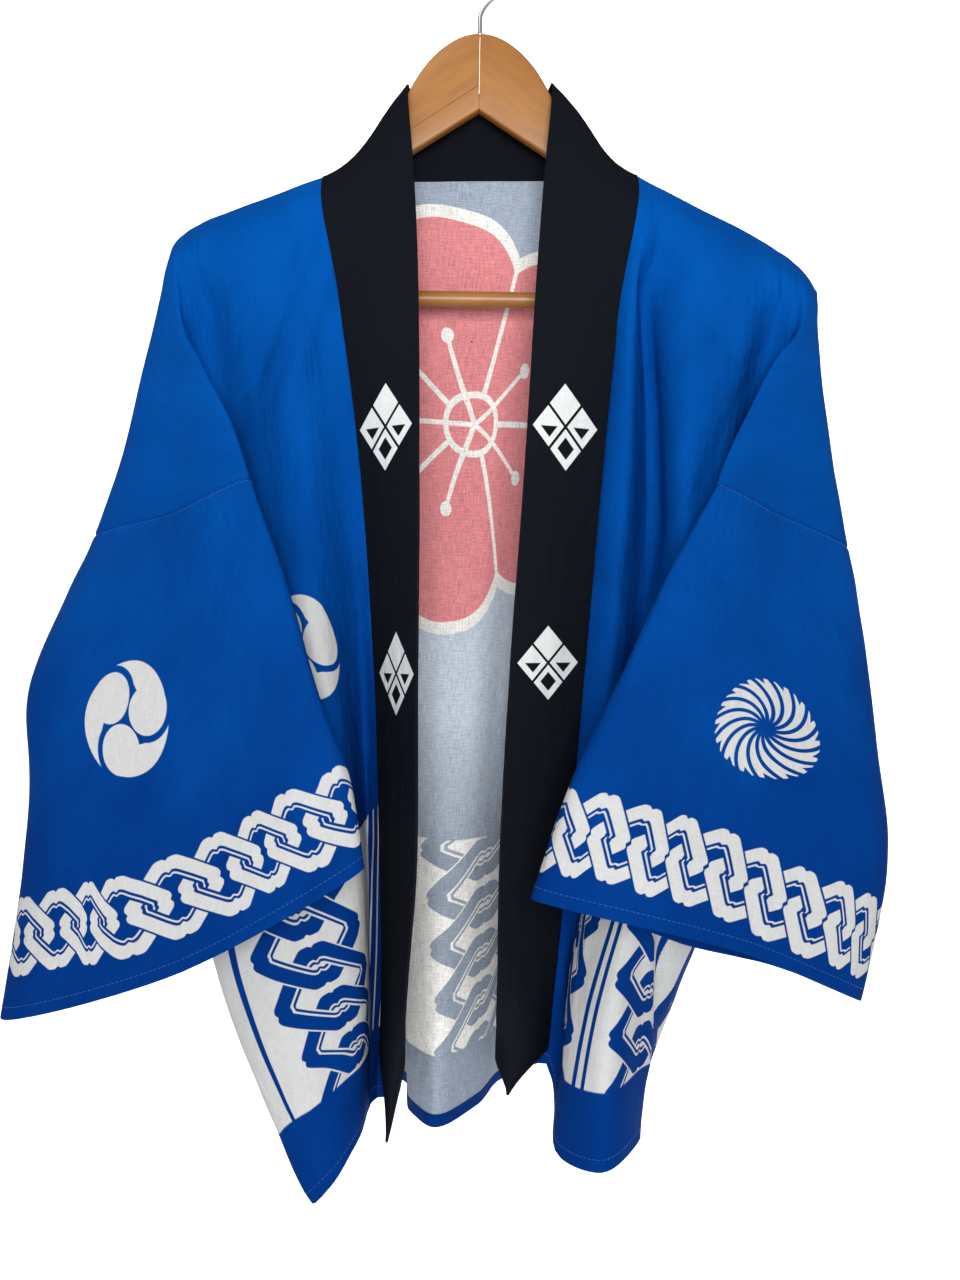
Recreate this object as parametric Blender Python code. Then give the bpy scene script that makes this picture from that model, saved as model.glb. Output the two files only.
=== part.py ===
# Happi coat hanging open on a flat wooden hanger with a wire hook.
# Metres, +Z up. The origin is the inside top of the hook, X runs to the wearer's left,
# and the front faces -Y. All tables are in millimetres.
#
# The cloth is worked out as one net of points. Each panel is a set of fold lines that run
# down the cloth; the net is stretched smoothly over them, cut at the seams, and every piece
# is then given its wall.

import math

import bmesh
import bpy
import numpy as np

MM = 0.001

CLOTH = 1.4             # wall of the cotton panels
BAND = 2.4              # wall of the collar band, four layers pressed flat
SEAM = 0.3              # free space left between two pieces at a seam
DRAW = SEAM * 0.6       # how far a panel's edge draws back from the seam line
BAND_DRAW = SEAM * 1.5  # the same for the thicker band
ROLL = (10.0, 8.5)      # the cloth turns over the hanger: this far out and down
ROLL_AT = 0.12          # where the roll ends, in row spans
SPAN_ROWS = 3           # net rows in one row span of the tables
TURN = (4.0, 6.0)       # a fold comes back at this distance, and this far behind itself
TURN_GROWS = (0, 0.35, 1, 1, 1)
TIP_ROLL = {"under": 0.9, "turn": 0.8, "fold": 0.75, "broad": 0.65}
ARMPIT = (5.0, 40.0)    # the sleeve stays this far open at the armpit, closing over this

WOOD = 11.0             # thickness of the hanger
WOOD_EDGE = 1.8         # rounding of its edges
HANGER_TILT = 0.8       # degrees, lower on the wearer's left
BAR = 11.0              # diameter of the trouser bar
WIRE = 3.6              # diameter of the hook
HOOK_BEND = 20.0        # radius of the hook's centre line
HOOK_TURNS = 22         # steps round the bend
SHANK_END = -61.4       # foot of the shank, on the wood

# Fold lines of the wearer's right front, from the shoulder down to the hem: x, y, z.
# "seam" is where the collar is sewn on and "side" ends in the side seam.
FRONT_RIGHT = {
    "seam": [(-110, 0, -162), (-97, -24, -249), (-81, -34, -368), (-71, -38, -504),
             (-67, -38, -629), (-66, -36, -721), (-69, -34, -797)],
    "dip": [(-122, 0, -166), (-109, -26, -252), (-93, -36, -362), (-81, -32, -487),
            (-76, -22, -618), (-75, -18, -722), (-75, -20, -806)],
    "crest": [(-140, 0, -173), (-129, -30, -255), (-117, -52, -354), (-107, -66, -474),
              (-89, -70, -585), (-80, -68, -697), (-81, -72, -815)],
    "swell": [(-175, 0, -186), (-165, -24, -266), (-148, -36, -352), (-147, -46, -460),
              (-145, -56, -580), (-134, -85, -700), (-94, -92, -834)],
    "side": [(-197, 0, -195), (-191, -11, -262), (-184, -14, -345), (-189, -10, -450),
             (-194, -20, -555), (-177, -55, -700), (-101, -100, -840)],
}
# The same front's flap between the hanger's end, the shoulder line and the sleeve seam.
FLAP_RIGHT = {
    "under": [(-204.5, 0, -199), (-200, -17, -258), (-198, -33, -330), (-195, -48, -398),
              (-186, -62, -460)],
    "fold": [(-211, 0, -204), (-205, -24, -262), (-184, -48, -307), (-162, -68, -348),
             (-148, -82, -384)],
    "broad": [(-216, 0, -210.5), (-217, -15, -259), (-215, -28, -306), (-209, -42, -356),
              (-205, -52, -401)],
    "shoulder": [(-219, 0, -219), (-226, -3, -254), (-235, -6, -297), (-248, -9, -355),
                 (-267, -12, -416)],
}
FRONT_LEFT = {
    "seam": [(110, 0, -161), (97, -24, -251), (84, -34, -368), (72, -38, -494),
             (61, -36, -616), (52, -32, -705), (45, -30, -775)],
    "dip": [(119, 0, -166), (104, -32, -256), (97, -48, -370), (87, -50, -494),
            (73, -44, -615), (58, -34, -698), (48, -30, -784)],
    "pleat": [(129, 0, -171), (115, -14, -252), (117, -14, -369), (109, -28, -494),
              (85, -60, -626), (61, -72, -722), (52, -85, -820)],
    "crest": [(154, 0, -184), (143, -38, -264), (141, -50, -374), (125, -60, -494),
              (102, -85, -629), (83, -98, -722), (74, -108, -821)],
    "swell": [(186, 0, -200), (180, -32, -280), (163, -40, -379), (154, -45, -487),
              (133, -70, -631), (113, -62, -725), (105, -66, -816)],
    "side": [(208, 0, -213.5), (205, -11, -274), (185, -15, -363), (185, -10, -458),
             (187, -14, -560), (155, 5, -696), (90, 30, -835)],
}
FLAP_LEFT = {
    "under": [(216, 0, -218.5), (214, -17, -272), (208, -31, -340), (199, -46, -402),
              (188, -61, -462)],
    "fold": [(223.5, 0, -225), (220, -24, -271), (197, -45, -301), (172, -65, -346),
             (153, -80, -388)],
    "broad": [(230.5, 0, -233), (230, -15, -273), (219, -30, -313), (208, -42, -359),
              (201, -50, -402)],
    "shoulder": [(237, 0, -243), (236.5, -4, -275), (239, -8, -316), (245, -11, -366),
                 (254, -14, -424)],
}
# The back hangs in deep folds. Its first and last lines stop at the armholes, and the
# fronts' side seams go on from there.
BACK = {
    "side_right": [(-197, 0, -195), (-197, 18, -262), (-192, 24, -345), (-195, 8, -450),
                   (-194, -20, -555)],
    "swell_right": [(-175, 0, -186), (-164, 26, -262), (-160, 42, -350), (-186, 38, -465),
                    (-184, 24, -575), (-160, 4, -705), (-108, -16, -833)],
    "crest_right": [(-140, 0, -173), (-132, 27, -258), (-134, 48, -350), (-150, 66, -465),
                    (-168, 72, -580), (-150, 70, -705), (-124, 75, -828)],
    "dip_right": [(-122, 0, -166), (-112, 25, -255), (-108, 40, -350), (-112, 58, -465),
                  (-124, 84, -580), (-112, 108, -705), (-95, 132, -826)],
    "neck_right": [(-110, 0, -162), (-94, 26, -252), (-84, 42, -350), (-76, 52, -465),
                   (-80, 66, -585), (-72, 84, -705), (-60, 102, -827)],
    "nape_right": [(-58, 17, -159), (-52, 27, -252), (-50, 42, -350), (-50, 42, -465),
                   (-52, 38, -590), (-52, 34, -710), (-50, 30, -828)],
    "nape": [(-6, 22, -157), (-8, 30, -252), (-10, 38, -350), (-14, 34, -465),
             (-20, 22, -590), (-28, 8, -710), (-33, -4, -828)],
    "nape_left": [(53, 18, -158), (46, 28, -252), (36, 42, -350), (26, 44, -465),
                  (16, 42, -590), (6, 42, -710), (-3, 45, -828)],
    "neck_left": [(110, 0, -161), (94, 26, -252), (78, 44, -350), (60, 56, -465),
                  (44, 72, -590), (30, 90, -710), (15, 105, -828)],
    "dip_left": [(119, 0, -166), (106, 25, -256), (94, 42, -352), (84, 60, -465),
                 (72, 86, -590), (60, 112, -710), (42, 138, -826)],
    "pleat_left": [(129, 0, -171), (120, 26, -258), (114, 46, -354), (112, 66, -466),
                   (106, 94, -588), (94, 122, -708), (74, 146, -825)],
    "crest_left": [(154, 0, -184), (144, 27, -264), (140, 46, -358), (146, 66, -468),
                   (150, 84, -586), (130, 112, -706), (106, 132, -827)],
    "swell_left": [(186, 0, -200), (174, 26, -272), (166, 42, -360), (180, 42, -470),
                   (184, 44, -580), (160, 62, -702), (120, 78, -831)],
    "side_left": [(208, 0, -213.5), (212, 16, -275), (192, 24, -363), (191, 8, -458),
                  (187, -14, -560)],
}
BACK_FLAP_RIGHT = {
    "under": [(-204.5, 0, -199), (-206, 22, -265), (-203, 33, -345), (-210, 32, -430),
              (-215, 18, -500)],
    "fold": [(-211, 0, -204), (-216, 24, -262), (-222, 40, -325), (-226, 44, -385),
             (-225, 38, -440)],
    "broad": [(-216, 0, -210.5), (-223, 15, -257), (-233, 24, -315), (-243, 27, -368),
              (-250, 22, -424)],
}
BACK_FLAP_LEFT = {
    "under": [(216, 0, -218.5), (220, 20, -280), (208, 32, -355), (208, 32, -435),
              (209, 20, -503)],
    "fold": [(223.5, 0, -225), (229, 23, -280), (226, 39, -338), (225, 43, -393),
             (222, 38, -444)],
    "broad": [(230.5, 0, -233), (235, 14, -277), (237, 23, -328), (240, 26, -378),
              (243, 20, -430)],
}
# Sleeves from the first ring below the armhole to the cuff. "arm" is the underarm seam,
# and the lines from "arm" on are the hidden side.
SLEEVE_RIGHT = {
    "under": [(-140, -80, -508), (-128, -90, -557), (-106, -103, -595), (-88, -117, -634)],
    "fold": [(-123, -95, -451), (-101, -105, -521), (-82, -115, -573), (-72, -128, -626)],
    "broad": [(-189, -76, -445), (-192, -93, -524), (-183, -107, -595), (-183, -124, -691)],
    "shoulder": [(-283, -16, -460), (-304, -25, -524), (-301, -35, -599),
                 (-310, -55, -732)],
    "back_broad": [(-263, 8, -474), (-278, -6, -545), (-278, -28, -620), (-268, -60, -716)],
    "back_fold": [(-228, 18, -500), (-238, -4, -565), (-236, -42, -632),
                  (-222, -82, -700)],
    "back_under": [(-224, 6, -550), (-214, -24, -598), (-206, -58, -640),
                   (-168, -102, -676)],
    "arm": [(-184, -72, -570), (-168, -90, -604), (-146, -102, -628), (-112, -112, -643)],
}
SLEEVE_LEFT = {
    "under": [(133, -82, -512), (104, -96, -562), (78, -109, -603), (52, -121, -651)],
    "fold": [(119, -96, -447), (81, -112, -525), (56, -122, -576), (32, -131, -644)],
    "broad": [(185, -74, -461), (181, -95, -541), (172, -114, -613), (162, -128, -679)],
    "shoulder": [(259, -20, -463), (267, -30, -555), (269, -45, -633), (245, -60, -721)],
    "back_broad": [(248, 5, -474), (252, -8, -558), (246, -38, -634), (214, -66, -708)],
    "back_fold": [(224, 16, -505), (224, -4, -574), (216, -48, -640), (180, -90, -693)],
    "back_under": [(217, 6, -553), (203, -28, -602), (186, -66, -643), (130, -110, -678)],
    "arm": [(178, -70, -576), (158, -90, -610), (128, -105, -636), (82, -119, -659)],
}
# The collar's middle and free edge, from the wearer's right hem up round the neck and down
# to the left hem. "at" is the row of the right front counted up from -6, then the five
# neck lines of the back, then the rows of the left front from 4 on.
COLLAR = {
    "at": [-6, -5, -4, -3, -2, -1, 0, 0.5, 0.75, 1, 2, 3, 3.25, 3.5, 4, 5, 6, 7, 8, 9, 10],
    "middle": [(-56, -90, -806), (-57, -66, -715), (-54, -67, -625), (-55, -66, -504),
               (-60, -57, -371), (-69, -38, -252), (-84, -19, -160), (-74, -2, -131),
               (-66, 5, -120), (-57, 14, -127), (-4, 19, -127), (52, 14, -126),
               (66, 5, -117), (75, -2, -127), (84, -19, -160), (67, -36, -253),
               (57, -53, -371), (46, -60, -494), (37, -61, -613), (31, -60, -700),
               (18, -84, -777)],
    "free": [(-51, -66, -781), (-47, -88, -708), (-41, -92, -621), (-40, -90, -503),
             (-40, -76, -374), (-42, -46, -255), (-46, -32, -166), (-50.5, -14, -110),
             (-50.5, -1, -97.5), (-49, 10, -98), (-2, 15, -98), (48, 10, -98),
             (50.5, -1, -96.5), (50.5, -14, -109), (45, -32, -166), (38, -42, -255),
             (30, -68, -373), (21, -76, -494), (14, -80, -610), (12, -80, -694),
             (11, -62, -763)],
}
# Where the net's columns lie between one fold line and the next, as shares of the way. They
# crowd towards a tight fold.
EVEN = (1 / 3, 2 / 3, 1)
HALVES = (0.5, 1)
FROM_FOLD = (0.08, 0.24, 0.58, 1)
STRIPS = {"seam": (0.45, 0.8, 1), "dip": (0.18, 0.5, 1), "pleat": (0.3, 0.65, 1),
          "crest": EVEN, "swell": EVEN}
TO_EDGE = (0.36, 0.66, 0.86, 1)
FLAP_STRIPS = [EVEN, HALVES, HALVES, FROM_FOLD, TO_EDGE]
SLEEVE_STRIPS = FLAP_STRIPS + [HALVES, HALVES, FROM_FOLD, HALVES, HALVES, EVEN]
BAND_STRIPS = [EVEN, EVEN]

# One wooden half: its top edge from the joint out, then its lower edge back to the joint.
ARM_TOP = [(0, -62), (12, -64.5), (25, -72), (38, -85), (50, -104.5), (60, -124), (70, -143),
           (80, -158), (92, -170), (106, -177), (128, -184), (155, -190.5),
           (176, -198), (188, -205), (194, -214)]
ARM_END = [(196, -230), (194, -249), (186, -257), (177, -257), (177, -238)]
ARM_LOW = [(168, -233), (148, -221), (118, -206), (88, -187), (66, -166), (49, -147.5),
           (0, -116)]


def points(row):
    return np.array(row, float)


def tangents(knots, values):
    """Slopes at the knots of a smooth curve, from the parabola through each three points."""
    gaps = np.diff(knots)[:, None]
    slopes = np.diff(values, axis=0) / gaps
    inner = (slopes[:-1] * gaps[1:] + slopes[1:] * gaps[:-1]) / (gaps[1:] + gaps[:-1])
    first = 1.5 * slopes[0] - 0.5 * inner[0]
    last = 1.5 * slopes[-1] - 0.5 * inner[-1]
    return np.vstack([first, inner, last])


def smooth(knots, values, at):
    """Points on the smooth curve through the values, at the places asked for."""
    knots = np.asarray(knots, float)
    at = np.asarray(at, float)
    slopes = tangents(knots, values)
    k = np.clip(np.searchsorted(knots, at, side="right") - 1, 0, len(knots) - 2)
    gap = (knots[k + 1] - knots[k])[:, None]
    t = ((at - knots[k])[:, None]) / gap
    return (
        (1 + 2 * t) * (1 - t) ** 2 * values[k]
        + t * (1 - t) ** 2 * gap * slopes[k]
        + t * t * (3 - 2 * t) * values[k + 1]
        + t * t * (t - 1) * gap * slopes[k + 1]
    )


def row_places(last):
    """Where the net's rows lie, in row spans: two over the roll, then evenly spaced."""
    below = np.linspace(0, last, last * SPAN_ROWS + 1)[1:]
    return np.concatenate([[0, ROLL_AT / 2, ROLL_AT], below])


def rolled(row, side, share=1.0):
    """A fold line with the turn over the hanger put in, on the front (-1) or back (1). It
    starts on the far side of the hanger, so that it runs level over the top."""
    line = points(row)
    out, drop = share * ROLL[0], share * ROLL[1]
    near = line[0] + (0, side * out, -drop)
    far = line[0] + (0, -side * out, -drop)
    return np.vstack([far, line[0], near, line[1:]])


def down(line, places, roll=True):
    knots = np.arange(len(line), dtype=float)
    if roll:
        knots = np.concatenate([[-ROLL_AT, 0, ROLL_AT], knots[1:-2]])
    return smooth(knots, line, places)


def across(lines, strips, before=None, after=None):
    """The net over some fold lines: rows of points that pass through every line. before and
    after are lines beyond its edges, which only say how the cloth goes on from there."""
    known_lines = list(lines)
    start = 0
    if before is not None:
        known_lines.insert(0, before)
        start = 1
    if after is not None:
        known_lines.append(after)
    rows = []
    for r in range(len(lines[0])):
        known = np.array([line[r] for line in known_lines])
        lengths = np.linalg.norm(np.diff(known, axis=0), axis=1)
        knots = np.concatenate([[0], np.cumsum(np.maximum(lengths, 0.5))])
        at = [knots[start]]
        for i, shares in enumerate(strips):
            a, b = knots[start + i], knots[start + i + 1]
            at += [a + (b - a) * share for share in shares]
        rows.append(smooth(knots, known, at))
    return np.array(rows)


def beyond(flap, side, swell, other_swell):
    """Where a front or back goes past its side line: under the flap above the armhole, and
    round the side seam below it. At the armpit it just ends."""
    armpit = points(side)[4]
    ahead = armpit + (armpit - points(swell)[4]) * 0.5
    return np.vstack([points(flap)[:4], ahead, points(other_swell)[5:]])


def turned(fold, toward, side):
    """The line just past a sharp fold, which gives the fold its roundness."""
    fold, toward = points(fold), points(toward)
    way = toward - fold
    way /= np.linalg.norm(way, axis=-1, keepdims=True)
    return fold + way * TURN[0] + (0, -side * TURN[1], 0)


def flap_lines(flap, side):
    """A flap's lines, with the turn of its fold. They all start on the shoulder line, and
    turn over the hanger's end less and less towards its tip."""
    lines = {name: points(row) for name, row in flap.items()}
    between = (2 * lines["fold"] + lines["under"]) / 3
    if side < 0:
        sharp = turned(lines["fold"], lines["under"], side)
        between = between + (sharp - between) * np.array(TURN_GROWS)[:, None]
    lines["turn"] = between
    places = row_places(4)
    folds = [down(rolled(lines[n], side, share), places) for n, share in TIP_ROLL.items()]
    return folds + [down(lines["shoulder"], places, roll=False)]


def front_nets(main, flap, back_line, behind):
    names = list(main)
    lines = [down(rolled(main[n], -1), row_places(6)) for n in names]
    past = beyond(flap["under"], main["side"], main["swell"], back_line)
    after = down(past, row_places(6), roll=False)
    net = across(lines, [STRIPS[n] for n in names[:-1]], after=after)
    top = row_places(4)
    side = down(rolled(main["side"], -1), top)
    inner = down(rolled(main["swell"], -1), top)
    folds = [side] + flap_lines(flap, -1)
    outer = down(points(behind["broad"]), top, roll=False)
    return net, across(folds, FLAP_STRIPS, before=inner, after=outer)


def back_nets(right_seam, left_seam):
    names = list(BACK)
    lines = []
    for name in names:
        if name.startswith("nape"):
            lines.append(down(points(BACK[name]), row_places(6), roll=False))
        elif name.startswith("side"):
            seam = right_seam if name == "side_right" else left_seam
            upper = down(rolled(BACK[name], 1), row_places(4))
            lines.append(np.vstack([upper, seam[len(upper):]]))
        else:
            lines.append(down(rolled(BACK[name], 1), row_places(6)))
    edges = []
    for flap, front, end in ((BACK_FLAP_RIGHT, FRONT_RIGHT, "_right"),
                             (BACK_FLAP_LEFT, FRONT_LEFT, "_left")):
        past = beyond(flap["under"], BACK["side" + end], BACK["swell" + end],
                      front["swell"])
        edges.append(down(past, row_places(6), roll=False))
    strips = []
    for a, b in zip(names, names[1:]):
        if a.startswith("nape") or b.startswith("nape"):
            strips.append(EVEN)
        elif a.endswith("left"):
            strips.append(STRIPS[a.split("_")[0].replace("neck", "seam")])
        else:
            shares = STRIPS[b.split("_")[0].replace("neck", "seam")]
            strips.append([1 - share for share in shares[-2::-1]] + [1])
    return across(lines, strips, before=edges[0], after=edges[1])


def back_flap(flap, front, side, inner):
    top = row_places(4)
    whole = {**flap, "shoulder": front["shoulder"]}
    folds = [down(rolled(side, 1), top)] + flap_lines(whole, 1)
    outer = down(points(front["broad"]), top, roll=False)
    return across(folds, FLAP_STRIPS, before=down(rolled(inner, 1), top), after=outer)


def sleeve_net(sleeve, front, back):
    """Rings from the armhole to the cuff. The first ring is the edge of the two panels, and
    the row above it gives the direction in which the sleeve leaves them."""
    first = np.vstack([front[-1], back[-1][::-1][1:-1]])
    above = np.vstack([front[-2], back[-2][::-1][1:-1]])
    order = ["arm", "under", "fold", "broad", "shoulder", "back_broad", "back_fold",
             "back_under"]
    rings = [first]
    for k in range(4):
        known = {n: points(sleeve[n][k]) for n in order}
        loop = []
        for n in order:
            if n == "fold":
                loop.append([turned(known["fold"], known["under"], -1)])
            loop.append([known[n]])
            if n == "shoulder":
                loop.append([turned(known["shoulder"], known["back_broad"], -1)])
            if n == "back_fold":
                loop.append([(2 * known["back_fold"] + known["back_under"]) / 3])
        loop.append(loop[0])
        net = across(loop, SLEEVE_STRIPS, before=loop[-2], after=loop[1])
        rings.append(net[0][:-1])
    rings = np.array([above] + rings)
    knots = [-1.0 / SPAN_ROWS, 0, 1, 2, 3, 4]
    at = np.linspace(0, 4, 4 * SPAN_ROWS + 1)
    columns = [smooth(knots, rings[:, i], at) for i in range(rings.shape[1])]
    net = np.array(columns).transpose(1, 0, 2)
    ahead = net[1] - net[0]
    ahead /= np.linalg.norm(ahead, axis=1)[:, None]
    away = np.linalg.norm(net[0] - net[0, 0], axis=1)
    opened = ARMPIT[0] * np.maximum(0, 1 - away / ARMPIT[1])
    net[0] += ahead * opened[:, None]
    return np.concatenate([net, net[:, :1]], axis=1)


def collar_net(right, left, back, neck):
    """Stations along the band, each from the seam to the free edge. The seam edge is the
    inner edge of both fronts and the neck of the back."""
    rows = row_places(6)
    neck_places = np.linspace(0, 4, len(neck))
    places = np.concatenate([-rows[::-1], neck_places[1:-1], 4 + rows])
    seam = np.vstack([right[::-1, 0], back[0][neck][1:-1], left[:, 0]])
    middle = smooth(COLLAR["at"], points(COLLAR["middle"]), places)
    free = smooth(COLLAR["at"], points(COLLAR["free"]), places)
    return across([seam, middle, free], BAND_STRIPS)


def cloth_nets():
    """Every piece's nets, all facing out."""
    right, flap_right = front_nets(FRONT_RIGHT, FLAP_RIGHT, BACK["swell_right"],
                                   BACK_FLAP_RIGHT)
    left, flap_left = front_nets(FRONT_LEFT, FLAP_LEFT, BACK["swell_left"],
                                 BACK_FLAP_LEFT)
    back = back_nets(right[:, -1], left[:, -1])
    behind_right = back_flap(BACK_FLAP_RIGHT, FLAP_RIGHT, BACK["side_right"],
                             BACK["swell_right"])
    behind_left = back_flap(BACK_FLAP_LEFT, FLAP_LEFT, BACK["side_left"],
                            BACK["swell_left"])
    sleeve_right = sleeve_net(SLEEVE_RIGHT, flap_right, behind_right)
    sleeve_left = sleeve_net(SLEEVE_LEFT, flap_left, behind_left)
    neck = range(right.shape[1] - 1, back.shape[1] - left.shape[1] + 1)
    right[0] = back[0][: right.shape[1]][::-1]
    left[0] = back[0][-left.shape[1]:]
    collar = collar_net(right, left, back, list(neck))
    left, flap_left, sleeve_left = left[:, ::-1], flap_left[:, ::-1], sleeve_left[:, ::-1]
    behind_right = behind_right[:, ::-1]
    spine = back.shape[1] // 2
    pieces = {
        **upper_and_lower("front_right", right, flap_right),
        **upper_and_lower("front_left", left, flap_left),
        **upper_and_lower("back_right", back[:, : spine + 1], behind_right),
        **upper_and_lower("back_left", back[:, spine:], behind_left),
        "collar": [collar],
    }
    top = flap_right.shape[1] - 1
    pieces["sleeve_right_front"] = [sleeve_right[:, : top + 1]]
    pieces["sleeve_right_back"] = [sleeve_right[:, top:]]
    top = sleeve_left.shape[1] - flap_left.shape[1]
    pieces["sleeve_left_front"] = [sleeve_left[:, top:]]
    pieces["sleeve_left_back"] = [sleeve_left[:, : top + 1]]
    return pieces


def upper_and_lower(name, net, flap):
    """A panel is two solids that meet at the armpit's row. Collision pieces follow two short
    solids much more closely than a long one."""
    armpit = len(row_places(4)) - 1
    return {name + "_upper": [net[: armpit + 1], flap], name + "_lower": [net[armpit:]]}


def faces_of(net, index):
    """The net's triangles. Each small patch is split along its shorter diagonal."""
    rows, columns = net.shape[:2]
    ids = [[index(net[r, c]) for c in range(columns)] for r in range(rows)]
    faces = []
    for r in range(rows - 1):
        for c in range(columns - 1):
            a, b = ids[r][c], ids[r + 1][c]
            d, e = ids[r][c + 1], ids[r + 1][c + 1]
            falling = np.linalg.norm(net[r, c] - net[r + 1, c + 1])
            rising = np.linalg.norm(net[r + 1, c] - net[r, c + 1])
            if falling < rising:
                faces += [(a, b, e), (a, e, d)]
            else:
                faces += [(a, b, d), (b, e, d)]
    return faces


def share_points(pieces):
    """One list of points for all the cloth, so that the pieces agree along their seams."""
    known = {}
    spots = []

    def index(p):
        key = tuple(np.round(p, 3) + 0.0)
        if key not in known:
            known[key] = len(spots)
            spots.append(p)
        return known[key]

    faces = {name: [face for net in nets for face in faces_of(net, index)]
             for name, nets in pieces.items()}
    return np.array(spots), faces


def point_normals(spots, faces):
    normals = np.zeros_like(spots)
    for piece in faces.values():
        a, b, c = np.array(piece).T
        square = np.cross(spots[b] - spots[a], spots[c] - spots[a])
        for corner in (a, b, c):
            np.add.at(normals, corner, square)
    return normals / np.linalg.norm(normals, axis=1)[:, None]


def edge_loop(faces):
    """The edges that only one triangle has, in the order in which it runs round them."""
    edges = {}
    for a, b, c in faces:
        for edge in ((a, b), (b, c), (c, a)):
            edges[edge] = True
    return [edge for edge in edges if edge[::-1] not in edges]


def walled(name, spots, normals, skin, wall, draw, made_of):
    """A closed solid: the piece's skin moved out and in by half the wall, with a rim. Its
    edges draw back a little from the seams. Two rims that face each other split along the
    same diagonals, so that they stay apart where the seam turns."""
    spots = spots.copy()
    rim = edge_loop(skin)
    inward = {}
    for a, b in rim:
        step = np.cross(normals[a] + normals[b], spots[b] - spots[a])
        step /= max(np.linalg.norm(step), 1e-9)
        for end in (a, b):
            inward[end] = inward.get(end, 0) + step
    for i, step in inward.items():
        spots[i] = spots[i] + step / max(np.linalg.norm(step), 1e-9) * draw
    used = sorted({i for face in skin for i in face})
    place = {i: n for n, i in enumerate(used)}
    outer = spots[used] + normals[used] * wall / 2
    inner = spots[used] - normals[used] * wall / 2
    count = len(used)
    faces = [[place[i] for i in face] for face in skin]
    faces += [[count + place[i] for i in reversed(face)] for face in skin]
    for a, b in rim:
        ring = [place[b], place[a], count + place[a], count + place[b]]
        turned = ring if a < b else ring[1:] + ring[:1]
        faces += [turned[:3], [turned[0], turned[2], turned[3]]]
    mesh = bpy.data.meshes.new(name)
    mesh.from_pydata((np.vstack([outer, inner]) * MM).tolist(), [], faces)
    return placed(name, mesh, made_of)


def placed(name, mesh, made_of, smooth_under=40):
    mesh.materials.append(made_of)
    mesh.shade_smooth()
    mesh.set_sharp_from_angle(angle=math.radians(smooth_under))
    thing = bpy.data.objects.new(name, mesh)
    bpy.context.scene.collection.objects.link(thing)
    return thing


def material(name, colour, roughness, metallic=0.0):
    made = bpy.data.materials.new(name)
    made.use_nodes = True
    shader = made.node_tree.nodes["Principled BSDF"]
    shader.inputs["Base Color"].default_value = (*colour, 1)
    shader.inputs["Roughness"].default_value = roughness
    shader.inputs["Metallic"].default_value = metallic
    return made


def cloth():
    blue = material("blue cotton", (0.0, 0.09, 0.47), 0.85)
    black = material("black cotton", (0.008, 0.009, 0.014), 0.85)
    pieces = cloth_nets()
    spots, skins = share_points(pieces)
    normals = point_normals(spots, skins)
    for name in pieces:
        if name == "collar":
            walled(name, spots, normals, skins[name], BAND, BAND_DRAW, black)
        else:
            walled(name, spots, normals, skins[name], CLOTH, DRAW, blue)


def tilted(x, z):
    turn = math.radians(HANGER_TILT)
    z_top = ARM_TOP[0][1]
    return (x * math.cos(turn) + (z - z_top) * math.sin(turn),
            z_top - x * math.sin(turn) + (z - z_top) * math.cos(turn))


def arm(name, side, wood):
    """One half of the hanger: its outline as a slab with rounded edges."""
    outline = ARM_TOP + ARM_END + ARM_LOW
    outline = [(max(x, SEAM / 2) * side, z) for x, z in outline]
    bm = bmesh.new()
    ring = [bm.verts.new((x * MM, -WOOD / 2 * MM, z * MM))
            for x, z in (tilted(*p) for p in outline)]
    face = bm.faces.new(ring)
    grown = bmesh.ops.extrude_face_region(bm, geom=[face])["geom"]
    moved = [v for v in grown if isinstance(v, bmesh.types.BMVert)]
    bmesh.ops.translate(bm, vec=(0, WOOD * MM, 0), verts=moved)
    long_edges = [e for e in bm.edges
                  if abs(e.verts[0].co.y - e.verts[1].co.y) < 1e-6
                  and max(abs(v.co.x) for v in e.verts) > 4 * MM]
    bmesh.ops.bevel(bm, geom=long_edges, offset=WOOD_EDGE * MM, segments=2, profile=0.5,
                    affect="EDGES")
    bmesh.ops.recalc_face_normals(bm, faces=bm.faces)
    mesh = bpy.data.meshes.new(name)
    bm.to_mesh(mesh)
    bm.free()
    return placed(name, mesh, wood)


def round_bar(name, path, width, sides, made_of):
    curve = bpy.data.curves.new(name, "CURVE")
    curve.dimensions = "3D"
    curve.bevel_depth = width / 2 * MM
    curve.bevel_resolution = sides
    curve.use_fill_caps = True
    line = curve.splines.new("POLY")
    line.points.add(len(path) - 1)
    for point, (x, y, z) in zip(line.points, path):
        point.co = (x * MM, y * MM, z * MM, 1)
    curve.materials.append(made_of)
    thing = bpy.data.objects.new(name, curve)
    bpy.context.scene.collection.objects.link(thing)
    return thing


def hook_path():
    """Up the shank, out in a short bend, then round over the top to the open end."""
    centre = -(HOOK_BEND - WIRE / 2)
    arc = []
    for n in range(HOOK_TURNS + 1):
        angle = math.radians(-48 + 240 * n / HOOK_TURNS)
        arc.append((HOOK_BEND * math.cos(angle), 0, centre + HOOK_BEND * math.sin(angle)))
    foot = points([(0, 0, SHANK_END), (0, 0, -53), (1, 0, -46), (6, 0, -39), arc[0]])
    knots = np.arange(len(foot))
    shank = smooth(knots, foot, np.linspace(0, len(foot) - 1, 9))
    return [tuple(p) for p in shank[:-1]] + arc


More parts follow.
